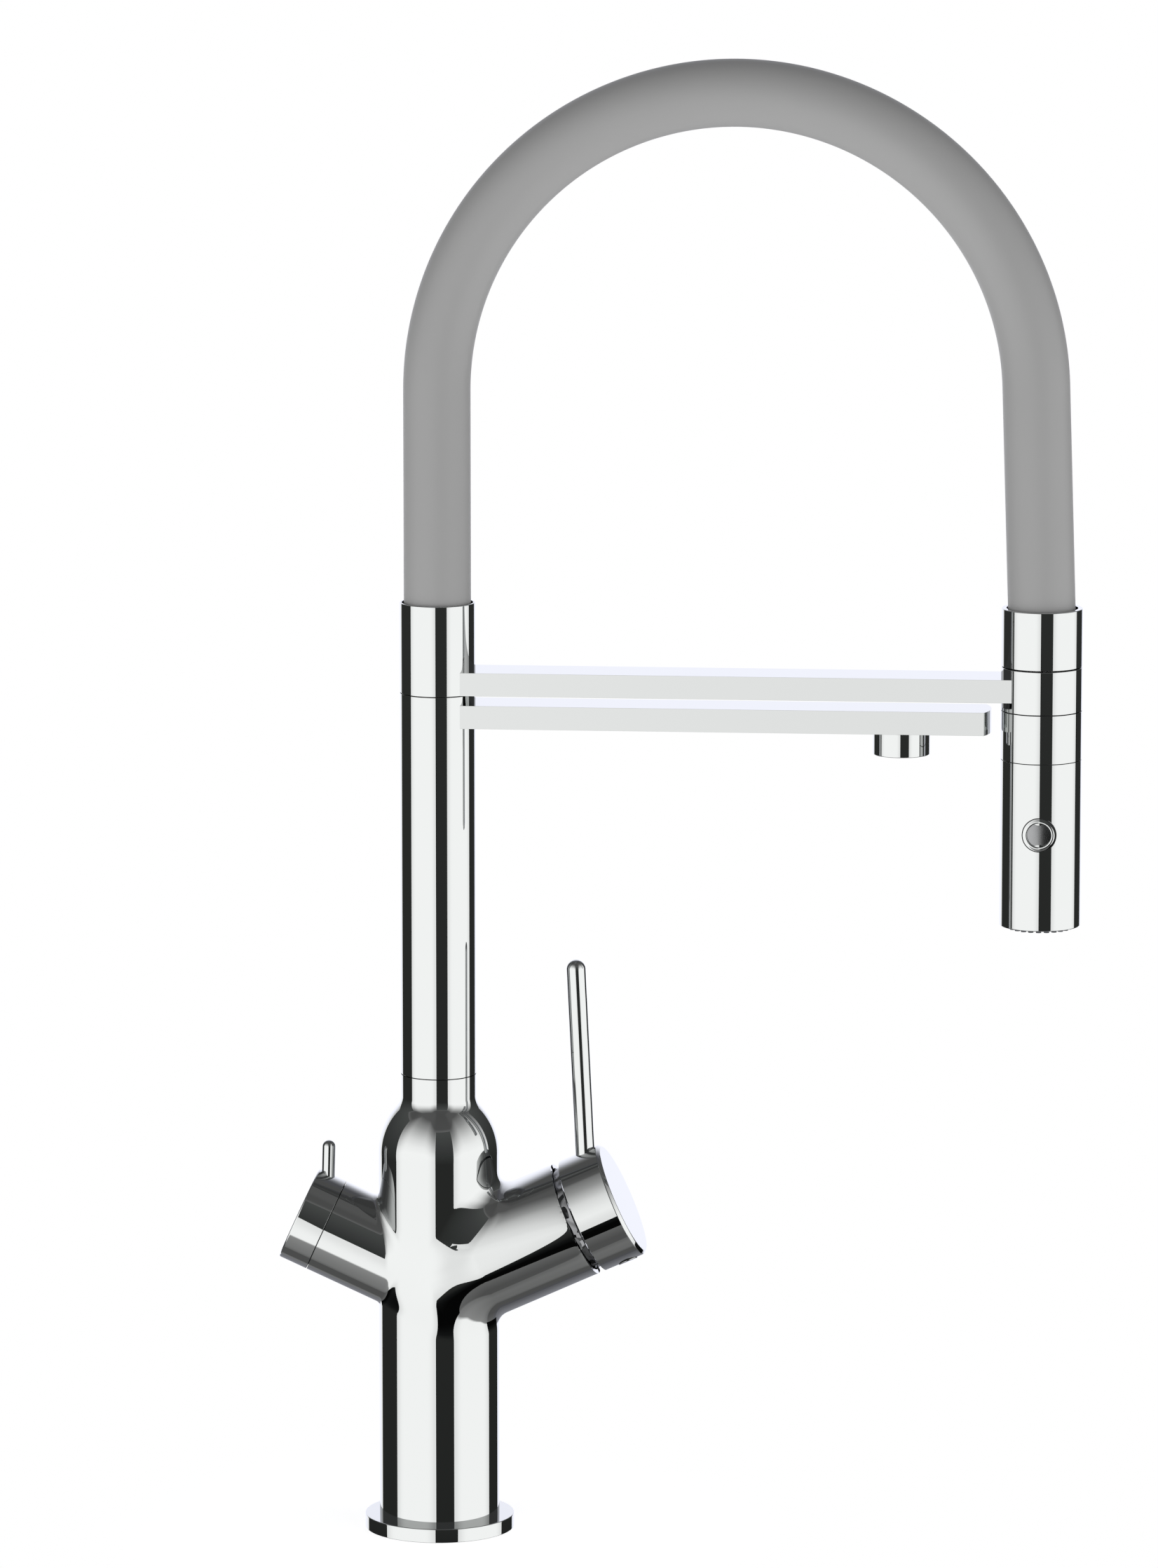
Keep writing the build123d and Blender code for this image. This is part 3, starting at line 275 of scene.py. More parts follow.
def tent_cloth():
    """White cloth that falls off to grey overhead and underfoot."""
    material, tree = new_material("tent cloth, white cotton")
    round_angle, up_angle = directions(tree)
    beside = under = 0
    for start, end in flags.values():
        from_middle = sum_of(tree, round_angle, -(start + end) / 2)
        distance = sum_of(tree, from_middle, 0, "ABSOLUTE")
        half = (end - start) / 2
        shade = share_between(tree, distance, half + shade_width, half, "SMOOTHSTEP")
        beside = sum_of(tree, beside, shade, "MAXIMUM")
        behind_flag = share_between(tree, distance, half, half - flag_edge)
        under = sum_of(tree, under, behind_flag, "MAXIMUM")
    behind = sum_of(tree, round_angle, 0, "ABSOLUTE")
    back = share_between(tree, behind, back_start, back_full)
    rise = sum_of(tree, beside, rise_beside_flag, "MULTIPLY")
    upward = share_between(tree, up_angle, rise_start, rise_full)
    rise = sum_of(tree, rise, upward, "MULTIPLY")
    drop = sum_of(tree, beside, drop_beside_flag, "MULTIPLY")
    drop = sum_of(tree, drop, sum_of(tree, under, drop_under_flag, "MULTIPLY"))
    drop = sum_of(tree, drop, sum_of(tree, back, drop_at_back, "MULTIPLY"), "MAXIMUM")
    downward = share_between(tree, up_angle, drop_start, drop_full)
    drop = sum_of(tree, drop, downward, "MULTIPLY")
    level = sum_of(tree, sum_of(tree, up_angle, rise), drop, "SUBTRACT")
    share = share_between(tree, level, straight_down, straight_up)
    cloth = colour_ramp(tree, share, cloth_stops, straight_down, straight_up)
    tint = add(
        tree,
        "ShaderNodeMix",
        {"Factor": back, 4: (1, 1, 1), 5: back_tint},
        data_type="VECTOR",
    )
    tinted = add(
        tree, "ShaderNodeVectorMath", {0: cloth, 1: tint.outputs[1]}, operation="MULTIPLY"
    )
    rays = add(tree, "ShaderNodeLightPath", {})
    soft_light = spread(tree, rays.outputs["Is Diffuse Ray"], 1, light_for_matt)
    close = sum_of(tree, beside, shade_power, "POWER")
    dimmed = spread(tree, close, 1, 1 - shade_beside_flag)
    strength = sum_of(tree, soft_light, dimmed, "MULTIPLY")
    # Painted shade: the cloth seen in a second mirror is dimmed.
    seen = painted_shade_when_mirrored_twice(tree, tinted.outputs["Vector"])
    glow = add(tree, "ShaderNodeEmission", {"Color": seen, "Strength": strength})
    add(tree, "ShaderNodeOutputMaterial", {"Surface": glow.outputs["Emission"]})
    return material


def stage_piece(bm, name, material):
    """Makes a bmesh part of the studio."""
    mesh = bpy.data.meshes.new(name)
    bm.to_mesh(mesh)
    bm.free()
    mesh.materials.append(material)
    piece = bpy.data.objects.new(name, mesh)
    scene.collection.objects.link(piece)
    return piece


tent_radius = 40.0
tent_sides = 96
tent_rings = 48
bm = bmesh.new()
bmesh.ops.create_uvsphere(bm, u_segments=tent_sides, v_segments=tent_rings, radius=tent_radius)
tent = stage_piece(bm, "tent", tent_cloth())
tent.visible_camera = False
tent.visible_shadow = False
print("tent:", tent_radius, "m")

# %% [markdown]
# ## The flags
# A flag is a tall panel of black velvet that bends round the tap. It is spun from one upright
# edge. Velvet isn't quite black: it takes a little light from overhead, so it is nearly black
# at its foot and dark grey at its top, where it melts into the dim cloth above.

# %% Flags
flag_radius = 30.0
flag_low = -37.5
flag_high = 62
flag_steps = 24
velvet_stops = (
    (-38, "#050505"),
    (-28, "#060606"),
    (-20, "#141515"),
    (-14, "#252625"),
    (-9, "#2B2C2B"),
    (0, "#323433"),
    (16, "#3C3D3D"),
    (32, "#444645"),
    (60, "#505151"),
    (62, "#545555"),
)


def velvet_cloth():
    """Black velvet, darkest at its foot."""
    material, tree = new_material("flag cloth, black velvet")
    up_angle = directions(tree)[1]
    share = share_between(tree, up_angle, straight_down, straight_up)
    cloth = colour_ramp(tree, share, velvet_stops, straight_down, straight_up)
    # Painted shade: the velvet seen in a second mirror is dimmed too.
    seen = painted_shade_when_mirrored_twice(tree, cloth)
    glow = add(tree, "ShaderNodeEmission", {"Color": seen, "Strength": 1})
    add(tree, "ShaderNodeOutputMaterial", {"Surface": glow.outputs["Emission"]})
    return material


velvet = velvet_cloth()
for name, (start, end) in flags.items():
    bm = bmesh.new()
    turn = Matrix.Rotation(math.radians(start), 3, "Z")
    ends = []
    for angle in (flag_low, flag_high):
        way = Vector((0, -1, math.tan(math.radians(angle))))
        ends.append(bm.verts.new(turn @ way * flag_radius))
    upright = bm.edges.new(ends)
    bmesh.ops.spin(
        bm,
        geom=[*ends, upright],
        cent=(0, 0, 0),
        axis=(0, 0, 1),
        angle=math.radians(end - start),
        steps=flag_steps,
    )
    flag = stage_piece(bm, name, velvet)
    flag.visible_camera = False
    flag.visible_shadow = False
    print(name, "from", start, "to", end, "degrees")

# %% [markdown]
# ## The floor
# The floor is matt white and keeps the soft shadow of the foot. A floor that is only lit would
# come out grey under this dim top light, so it is lifted with a little glow of its own, and away
# from the tap it turns into the plain white background.

# %% Floor
floor_radius = 1.5
floor_sides = 128
shadow_start = 0.03
shadow_end = 0.14
floor_lift = 0.72


def floor_paint():
    """Matt white paint, lifted to white where no shadow falls."""
    material, tree = new_material("floor paint, matt white")
    place = add(tree, "ShaderNodeTexCoord", {})
    reach = add(
        tree, "ShaderNodeVectorMath", {0: place.outputs["Object"]}, operation="LENGTH"
    )
    far = share_between(tree, reach.outputs["Value"], shadow_start, shadow_end, "SMOOTHSTEP")
    paint = add(tree, "ShaderNodeBsdfDiffuse", {"Color": linear("#F7F7F7")})
    lift = add(tree, "ShaderNodeEmission", {"Color": (1, 1, 1, 1), "Strength": floor_lift})
    lifted = add(
        tree, "ShaderNodeAddShader", {0: paint.outputs["BSDF"], 1: lift.outputs["Emission"]}
    )
    background = add(tree, "ShaderNodeEmission", {"Color": (1, 1, 1, 1), "Strength": 1})
    mixed = add(
        tree,
        "ShaderNodeMixShader",
        {0: far, 1: lifted.outputs["Shader"], 2: background.outputs["Emission"]},
    )
    add(tree, "ShaderNodeOutputMaterial", {"Surface": mixed.outputs["Shader"]})
    return material


bm = bmesh.new()
bmesh.ops.create_circle(bm, cap_ends=True, segments=floor_sides, radius=floor_radius)
floor = stage_piece(bm, "floor", floor_paint())
floor.visible_glossy = False
print("floor:", floor_radius, "m")

# %% [markdown]
# ## Chrome and other plated metal
# Chrome plate is a mirror with a faint cold tint. Its roughness is close to nothing, with a slow
# change of a few thousandths that stands for polishing by hand. The same graph makes brass, steel,
# nickel and the satin chrome of the button with another colour and a rougher finish.

# %% Polished metal
polish_spot = 12.0
polish_detail = 3
spot_low = 0.3
spot_high = 0.7
smoothest = 0.7
roughest = 1.3
chrome_roughness = 0.014


def noise(tree, place, size, detail, distortion=0):
    """A cloudy value with spots of a size in millimetres."""
    made = add(
        tree,
        "ShaderNodeTexNoise",
        {"Vector": place, "Scale": 1 / (size * mm), "Detail": detail, "Distortion": distortion},
    )
    return made.outputs["Fac"]


def coat(tree, inputs):
    """Gives a material its surface."""
    shader = add(tree, "ShaderNodeBsdfPrincipled", inputs)
    add(tree, "ShaderNodeOutputMaterial", {"Surface": shader.outputs["BSDF"]})


def polished_metal(name, code, roughness):
    """A mirror of metal, polished a little unevenly in spots of some millimetres."""
    material, tree = new_material(name)
    place = add(tree, "ShaderNodeTexCoord", {})
    rub = add(
        tree,
        "ShaderNodeMapRange",
        {
            "Value": noise(tree, place.outputs["Object"], polish_spot, polish_detail),
            "From Min": spot_low,
            "From Max": spot_high,
            "To Min": roughness * smoothest,
            "To Max": roughness * roughest,
        },
    )
    rubbed = rub.outputs["Result"]
    coat(tree, {"Base Color": linear(code), "Metallic": 1, "Roughness": rubbed})
    return material


chrome = polished_metal("chrome plate, mirror polished", "#F1F3F2", chrome_roughness)
print(chrome.name)

# %% [markdown]
# ## The dark nut and the ends inside a seam
# The nut under the lever is turned, with marks that nobody polished, and its plate is darker than
# the chrome: painted shade for the groove between the barrel and the cap, where it sits. The marks
# are too shallow to model, so a bump of soft waves bends the mirror image instead.
# The ends of pieces inside a seam are dark and matt: painted shade for the depth of the seam, so
# that a seam reads as a thin dark line.

# %% Nut plate and seam ends, with painted shade
mark_length = 12.0
mark_depth = 3.0
mark_distortion = 1.2
nut_plate_roughness = 0.03
seam_roughness = 0.8


def nut_plate_painted_dark():
    """Plate over rough turning, darkened as painted shade: a dark mirror that shallow waves bend."""
    material, tree = new_material("nut plate as turned, darkened as painted shade")
    place = add(tree, "ShaderNodeTexCoord", {})
    marks = noise(tree, place.outputs["Object"], mark_length, 0, mark_distortion)
    bump = add(
        tree, "ShaderNodeBump", {"Height": marks, "Strength": 1, "Distance": mark_depth * mm}
    )
    coat(
        tree,
        {
            "Base Color": linear("#A2A3A5"),
            "Metallic": 1,
            "Roughness": nut_plate_roughness,
            "Normal": bump.outputs["Normal"],
        },
    )
    return material


def seam_shade_paint():
    """Painted shade for the ends of pieces inside a seam: dark and matt."""
    material, tree = new_material("seam ends, painted shade")
    coat(tree, {"Base Color": linear("#1C1D1D"), "Metallic": 0, "Roughness": seam_roughness})
    return material


nut_painted_shade = nut_plate_painted_dark()
painted_seam_shade = seam_shade_paint()
print(nut_painted_shade.name, "and", painted_seam_shade.name)

# %% [markdown]
# ## Silicone, rubber and plastic
# The hose is moulded silicone, left matt: it gives soft light with no highlights. Its grain is a
# third of a millimetre, and its grey drifts by a shade over some centimetres. Rubber, acetal, ABS
# and ceramic are made by the same graph.

# %% Moulded materials
mould_grain = 0.35
grain_depth = 0.05
grain_strength = 0.12
shade_drift = 40.0
mould_detail = 2


def moulded(name, codes, roughness, ior=1.45):
    """A moulded material with a fine even grain and a slight drift between two shades."""
    material, tree = new_material(name)
    place = add(tree, "ShaderNodeTexCoord", {}).outputs["Object"]
    grain = noise(tree, place, mould_grain, mould_detail)
    drift = noise(tree, place, shade_drift, mould_detail)
    bump = add(
        tree,
        "ShaderNodeBump",
        {"Height": grain, "Strength": grain_strength, "Distance": grain_depth * mm},
    )
    shade = add(
        tree,
        "ShaderNodeMix",
        {"Factor": drift, 6: linear(codes[0]), 7: linear(codes[1])},
        data_type="RGBA",
    )
    coat(
        tree,
        {
            "Base Color": shade.outputs[2],
            "Roughness": roughness,
            "IOR": ior,
            "Normal": bump.outputs["Normal"],
        },
    )
    return material


finishes = {
    "chrome": chrome,
    "nut_chrome": nut_painted_shade,
    "silicone_hose": moulded("silicone rubber, matt grey", ("#ABABAB", "#AEAEAE"), 0.42, 1.41),
    "nozzle_silicone": moulded("silicone rubber, soft grey", ("#5E6064", "#66686C"), 0.5, 1.41),
    "button_grey": polished_metal("chrome plate, satin", "#B0B1B2", 0.2),
    "seal_rubber": moulded("EPDM rubber, black", ("#141414", "#1A1A1A"), 0.6),
    "hose_rubber": moulded("nylon braid cover, grey", ("#4A4B4E", "#5A5B5E"), 0.5),
    "brass": polished_metal("brass, machined", "#E3C07A", 0.25),
    "white_acetal": moulded("acetal, moulded white", ("#E6E6E2", "#EBEBE8"), 0.4),
    "grey_plastic": moulded("ABS, moulded grey", ("#8F9194", "#96989B"), 0.45),
    "ceramic": moulded("alumina, lapped", ("#F2F0E9", "#F5F3EE"), 0.2, 1.77),
    "steel": polished_metal("stainless steel, turned", "#C4C6C8", 0.25),
    "magnet": polished_metal("nickel plate, satin", "#B0B0AE", 0.3),
}
slots = {name: node.data.materials[0].name for name, node in frame["nodes"].items()}
for name, node in frame["nodes"].items():
    for index in range(len(node.data.materials)):
        node.data.materials[index] = finishes[slots[name]]
print("finishes:", len(finishes))

# %% [markdown]
# ## Turned pieces
# Most of the tap comes off a lathe. An outline of radius and height is spun once round, its
# corners are bevelled as a turner breaks an edge, and the piece is stood on its axis. Shading
# follows the larger faces, so that a fine bevel doesn't bend the mirror image beside it.

# %% Helpers for turned pieces
turning_steps = 192
bevel_steps = 3
even_profile = 0.5
nearly = 0.002
same_point = 0.001
usual_sharp_angle = 35
favour_larger_faces = 100


def broken_edges(bm, edges, size):
    """Rounds off some edges by a small size in millimetres."""
    bmesh.ops.bevel(
        bm,
        geom=edges,
        offset=size * mm,
        offset_type="OFFSET",
        segments=bevel_steps,
        profile=even_profile,
        affect="EDGES",
        material=-1,
    )


def turned(outline, painted_shade_ranges=()):
    """Spins an outline of (radius, height, edge rounding) in millimetres round the Z axis.

    Faces whose middle lies in one of the given ranges of height take the painted seam shade.
    """
    bm = bmesh.new()
    corners = [bm.verts.new((radius * mm, 0, height * mm)) for radius, height, rounding in outline]
    sides = [bm.edges.new(pair) for pair in zip(corners, corners[1:])]
    if outline[0][0] > 0:
        sides.append(bm.edges.new((corners[-1], corners[0])))
    bmesh.ops.spin(
        bm,
        geom=corners + sides,
        cent=(0, 0, 0),
        axis=(0, 0, 1),
        angle=math.tau,
        steps=turning_steps,
        use_merge=True,
    )
    bmesh.ops.remove_doubles(bm, verts=bm.verts, dist=same_point * mm)
    for radius, height, rounding in outline:
        if rounding == 0:
            continue
        place = Vector((radius, height)) * mm
        on_rim = {
            v for v in bm.verts
            if (Vector((v.co.xy.length, v.co.z)) - place).length < nearly * mm
        }
        rim = [edge for edge in bm.edges if on_rim.issuperset(edge.verts)]
        broken_edges(bm, rim, rounding)
    bmesh.ops.recalc_face_normals(bm, faces=bm.faces)
    for low, high in painted_shade_ranges:
        for face in bm.faces:
            if low - nearly < face.calc_center_median().z / mm < high + nearly:
                face.material_index = 1
    return bm


def stand(bm, foot, axis=(0, 0, 1)):
    """Moves a turned piece from the Z axis to its own axis, from a foot in metres."""
    turn = Vector((0, 0, 1)).rotation_difference(Vector(axis)).to_matrix().to_4x4()
    bmesh.ops.transform(bm, matrix=Matrix.Translation(Vector(foot)) @ turn, verts=bm.verts)


def make_piece(bm, name, node, sharp=usual_sharp_angle):
    """Makes a piece from a bmesh. It replaces a node, and takes over its body and its finish."""
    mesh = bpy.data.meshes.new(name)
    bm.to_mesh(mesh)
    bm.free()
    mesh.polygons.foreach_set("use_smooth", [True] * len(mesh.polygons))
    mesh.set_sharp_from_angle(angle=math.radians(sharp))
    mesh.materials.append(finishes[slots[node]])
    # The second slot is painted shade for faces inside a seam.
    mesh.materials.append(painted_seam_shade)
    piece = bpy.data.objects.new(name, mesh)
    scene.collection.objects.link(piece)
    weights = piece.modifiers.new("normals by face area", "WEIGHTED_NORMAL")
    weights.keep_sharp = True
    weights.weight = favour_larger_faces
    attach(piece, frame["nodes"][node]["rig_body"])
    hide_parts(node)
    print(name, "faces:", len(mesh.polygons))
    return piece


def heights(node):
    """Lowest and highest level of a node, in millimetres."""
    low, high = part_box(node)
    return low.z / mm, high.z / mm


# %% [markdown]
# ## Foot, riser and sleeve
# The flange, the riser and the sleeve are plain rings and tubes. What shows is their edges: a
# fine round at each end lets a seam catch light on one side and go dark on the other.

# %% Foot, riser and sleeve
flange_low, flange_high = heights("base_flange")
flange_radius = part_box("base_flange")[1].x / mm
flange_bore = 19.1
flange_foot_round = 0.2
flange_top_round = 0.35
bm = turned((
    (flange_bore, flange_low, 0),
    (flange_radius, flange_low, flange_foot_round),
    (flange_radius, flange_high, flange_top_round),
    (flange_bore, flange_high, 0),
))
make_piece(bm, "foot_flange", "base_flange")

riser_low, riser_high = heights("riser_tube")
riser_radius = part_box("riser_tube")[1].y / mm
riser_wall = 1.0
seam_round = 0.1
# The end faces in the seams carry painted shade.
bm = turned(
    (
        (riser_radius - riser_wall, riser_low, 0),
        (riser_radius, riser_low, seam_round),
        (riser_radius, riser_high, seam_round),
        (riser_radius - riser_wall, riser_high, 0),
    ),
    painted_shade_ranges=((riser_low, riser_low), (riser_high, riser_high)),
)
make_piece(bm, "riser", "riser_tube")

sleeve_low, sleeve_high = heights("upper_sleeve")
sleeve_wall = 0.8
hose_radius = 12.43
hose_seat = 338.0
grip_top = 346.0
sleeve_round = 0.25
sleeve_bore_round = 0.15
# The end faces in the seams and the seat of the hose carry painted shade.
bm = turned(
    (
        (riser_radius - sleeve_wall, sleeve_low, 0),
        (riser_radius, sleeve_low, seam_round),
        (riser_radius, sleeve_high, sleeve_round),
        (riser_radius - sleeve_wall, sleeve_high, sleeve_bore_round),
        (riser_radius - sleeve_wall, grip_top, 0),
        (hose_radius, grip_top, 0),
        (hose_radius, hose_seat, 0),
        (riser_radius - sleeve_wall, hose_seat, 0),
    ),
    painted_shade_ranges=((sleeve_low, sleeve_low), (hose_seat, grip_top)),
)
make_piece(bm, "hose_sleeve", "upper_sleeve")

# %% [markdown]
# ## Body
# The body is one casting: a round column whose shoulder runs into the riser, a wide barrel that
# rises to the right for the mixer, and a slimmer one to the left for filtered water. The barrels
# grow out of the column through soft fillets, and these fillets are what the eye sees, because
# the mirror image flows through them. The form is written as a distance: the smooth minimum of
# the distances to the column and to the two barrels. Towards its root the mixer's barrel turns a
# little wider and squarer, and its top sags by a fraction of a millimetre. Each fillet has one
# size above the barrel and another below it, and the mixer's also changes from the crotch, where
# barrel and column meet at the side, to the flanks at the front and the back. These sizes were
# matched by the mirror image that they give under the shoulder.

# %% The blended form of the body
joints = {joint["name"]: joint for joint in frame["joints"]}
root_height = 95.4
barrel_root = np.array((0, 0, root_height))
mixer_way = np.array(joints["mixer_turn"]["axis"])
filter_way = -np.array(joints["filter_turn"]["axis"])
mixer_up = np.array((-mixer_way[2], 0, mixer_way[0]))
filter_upward = np.array((filter_way[2], 0, -filter_way[0]))

# The column
column_radius = 22.45
shoulder_radius = 26.3
shoulder_start = 143.0
neck_radius = 14.0
fillet_radius = 6.0
fillet_start = 160.73
fillet_end = 164.78

# The barrels and their soft inner ends
mixer_radius = 22.1
mixer_seam = 56.3
mixer_end_start = -0.37
mixer_end_softness = 12.4
filter_radius = 18.0
filter_end_softness = 10.0

# How much wider, squarer and lower the mixer's barrel is at its root
mixer_band = 5.7
swell_above = 1.03
swell_below = 1.8
swell_power = 0.7
swell_fade = 19.7
square_above = 1.29
sag_above = 0.69
sag_power = 1.5
most_to_root = 1.2

# The fillets
crotch_above = 6.41
crotch_below = 3.98
flank_above = 4.68
flank_below = 7.73
flank_power = 2.47
flank_inset = 0.15
between_above = 4.95
between_below = 0.88
filter_band = 12.0
filter_fillet_above = 3.3
filter_fillet_below = 1.2
least_fillet = 0.5

slope_step = 0.01
tiny = 1e-12


def smooth_minimum(first, second, reach):
    """The lower of two distances, rounded off where they come within a reach of each other."""
    overlap = np.maximum(reach - np.abs(first - second), 0) / reach
    return np.minimum(first, second) - overlap * overlap * reach / 4


def soft_step(value):
    """Rises softly from 0 to 1."""
    held = np.clip(value, 0, 1)
    return held * held * (3 - 2 * held)


def blend(low, high, share):
    """A value between two, at a share from 0 to 1."""
    return low + (high - low) * share


def column_distance(points):
    """Distance to the column with its shoulder and neck."""
    radius = np.hypot(points[:, 0], points[:, 1])
    height = points[:, 2]
    straight = radius - column_radius
    shoulder_axis = column_radius - shoulder_radius
    shoulder = np.hypot(radius - shoulder_axis, height - shoulder_start) - shoulder_radius
    neck = radius - neck_radius
    fillet_axis = neck_radius + fillet_radius
    fillet = fillet_radius - np.hypot(radius - fillet_axis, height - fillet_end)
    distance = np.where(height < shoulder_start, straight, shoulder)
    distance = np.where(height > fillet_end, neck, distance)
    in_fillet = (height > fillet_start) & (height <= fillet_end) & (radius < fillet_axis)
    return np.where(in_fillet, fillet, distance)


def mixer_place(points):
    """How far along the mixer's barrel, up from its axis and across it each point lies."""
    from_root = points - barrel_root
    return from_root @ mixer_way, from_root @ mixer_up, from_root[:, 1]


def above_axis(up, band):
    """0 on the underside of a barrel and 1 on its top, soft over a band on both sides of its axis."""
    return soft_step((up + band) / (2 * band))


def mixer_distance(points):
    """Distance to the mixer's barrel, which is wider, squarer and lower towards its root."""
    along, up, across = mixer_place(points)
    above = above_axis(up, mixer_band)
    to_root = np.clip(1 - along / mixer_seam, 0, most_to_root)
    fade = soft_step(np.maximum(along, 0) / swell_fade)
    swell = blend(swell_below, swell_above, above) * to_root ** swell_power * fade
    power = 2 + square_above * above * to_root * fade
    sag = sag_above * np.clip(to_root, 0, 1) ** sag_power * above
    tall = (np.abs(up + sag) / mixer_radius) ** power
    wide = (np.abs(across) / (mixer_radius + swell)) ** power
    section = (tall + wide + tiny) ** (1 / power)
    rounded_end = np.maximum(mixer_end_start - along, 0) ** 2 / (2 * mixer_end_softness)
    return (section - 1) * mixer_radius + rounded_end


def filter_distance(points):
    """Distance to the barrel for filtered water."""
    from_root = points - barrel_root
    along = from_root @ filter_way
    radial = np.linalg.norm(from_root - along[:, None] * filter_way, axis=1)
    rounded_end = np.maximum(-along, 0) ** 2 / (2 * filter_end_softness)
    return radial - filter_radius + rounded_end


def body_distance(points):
    """Distance to the whole body, in millimetres."""
    along, up, across = mixer_place(points)
    above = above_axis(up, mixer_band)
    flank = np.clip(np.abs(across) / (column_radius - flank_inset), 0, 1) ** flank_power
    in_crotch = blend(crotch_below, crotch_above, above)
    on_flank = blend(flank_below, flank_above, above)
    between = blend(between_below, between_above, above)
    fillet = blend(in_crotch, on_flank, flank) + between * 4 * flank * (1 - flank)
    fillet = np.maximum(fillet, least_fillet)
    distance = smooth_minimum(column_distance(points), mixer_distance(points), fillet)
    filter_above = above_axis((points - barrel_root) @ filter_upward, filter_band)
    filter_fillet = blend(filter_fillet_below, filter_fillet_above, filter_above)
    return smooth_minimum(distance, filter_distance(points), filter_fillet)


def body_slope(points):
    """How fast the distance grows along each axis, by its difference over a small step."""
    sides = [
        body_distance(points + way * slope_step) - body_distance(points - way * slope_step)
        for way in np.eye(3)
    ]
    return np.stack(sides, axis=1) / (2 * slope_step)


column_front = np.array(((0, -column_radius, root_height / 2),))
print("distance at the column's front:", body_distance(column_front), "mm")

# %% [markdown]
# ## Skin of the body
# The skin starts from plain solids that overlap. A voxel remesh joins them into one even mesh of
# small squares, which a boolean would not give. Its ends are cut off a little beyond the seams,
# because the form itself has no ends. Every point is then pulled along the slope onto the form, a
# few times over, and the ends are cut once more, now exactly at the seams.

# %% Plain solids under the skin
neck_top = 173.25
filter_seam = 46.35
body_foot = heights("body_casting")[0]
core_beyond = 4
shoulder_bevel = (18.0, 157.0)


def body_point(along, way):
    """A point on a barrel's axis, in metres."""
    return Vector((barrel_root + np.array(way) * along) * mm)


core = turned((
    (0, body_foot - core_beyond, 0),
    (column_radius, body_foot - core_beyond, 0),
    (column_radius, shoulder_start, 0),
    (*shoulder_bevel, 0),
    (neck_radius, fillet_end, 0),
    (neck_radius, neck_top + core_beyond, 0),
    (0, neck_top + core_beyond, 0),
))
for radius, way, seam in (
    (mixer_radius, mixer_way, mixer_seam),
    (filter_radius, filter_way, filter_seam),
):
    end = seam + core_beyond
    barrel = turned(((0, 0, 0), (radius, 0, 0), (radius, end, 0), (0, end, 0)))
    stand(barrel, body_point(0, way), way)
    joined = bpy.data.meshes.new("barrel core")
    barrel.to_mesh(joined)
    barrel.free()
    core.from_mesh(joined)
    bpy.data.meshes.remove(joined)
print("faces of the plain solids:", len(core.faces))

# %% Skin on the form
skin_cell = 0.95
allowance = 1.5
on_plane = 1e-7
pulls = 12
least_steepness = 0.1
body_wall = 1.6
body_chamfer = 0.8
same_way = 0.9
chamfer_top = body_foot + body_chamfer
cuts = (
    (Vector((0, 0, body_foot * mm)), Vector((0, 0, -1))),
    (Vector((0, 0, neck_top * mm)), Vector((0, 0, 1))),
    (body_point(mixer_seam, mixer_way), Vector(mixer_way)),
    (body_point(filter_seam, filter_way), Vector(filter_way)),
)


def cut(bm, place, way, clear):
    """Cuts a mesh along a plane and, if told so, clears what lies beyond it."""
    bmesh.ops.bisect_plane(
        bm,
        geom=list(bm.verts) + list(bm.edges) + list(bm.faces),
        dist=on_plane,
        plane_co=place,
        plane_no=way,
        clear_outer=clear,
    )


def trim(bm, extra):
    """Cuts the ends off square, so far beyond the seams, and leaves them open."""
    for place, way in cuts:
        cut(bm, place + way * extra * mm, way, True)


skin = bpy.data.objects.new("body skin", bpy.data.meshes.new("body skin"))
core.to_mesh(skin.data)
core.free()
scene.collection.objects.link(skin)
remesh = skin.modifiers.new("even skin", "REMESH")
remesh.mode = "VOXEL"
remesh.voxel_size = skin_cell * mm
bm = bmesh.new()
bm.from_object(skin, bpy.context.evaluated_depsgraph_get())
bpy.data.objects.remove(skin)
trim(bm, allowance)
points = np.array([v.co for v in bm.verts]) / mm
for _ in range(pulls):
    slope = body_slope(points)
    steepness = np.maximum((slope ** 2).sum(axis=1), least_steepness)
    points = points - slope * (body_distance(points) / steepness)[:, None]
distance_left = abs(body_distance(points)).max()
print("points:", len(points), "largest distance left:", round(distance_left, 5), "mm")
for vertex, place in zip(bm.verts, points * mm):
    vertex.co = place
trim(bm, 0)
cut(bm, (0, 0, chamfer_top * mm), (0, 0, 1), False)
for vertex in bm.verts:
    short = chamfer_top * mm - vertex.co.z
    if short > 0:
        vertex.co.xy *= 1 - short / (column_radius * mm)
bmesh.ops.recalc_face_normals(bm, faces=bm.faces)
bmesh.ops.solidify(bm, geom=list(bm.faces), thickness=body_wall * mm)
bm.normal_update()
# The end faces at the seams take the painted seam shade.
for face in bm.faces:
    for place, way in cuts:
        level = (face.calc_center_median() - place).dot(way)
        if abs(level) < nearly * mm and abs(face.normal.dot(way)) > same_way:
            face.material_index = 1
body = make_piece(bm, "tap_body", "body_casting")

# %% [markdown]
# ## Normals of the body
# Even a fine mesh shows its squares in a mirror. The slope of the distance is the exact direction
# of the surface, so the corners on the outer skin take it as their normal. The seams, the chamfer
# and the inside keep their usual normals.

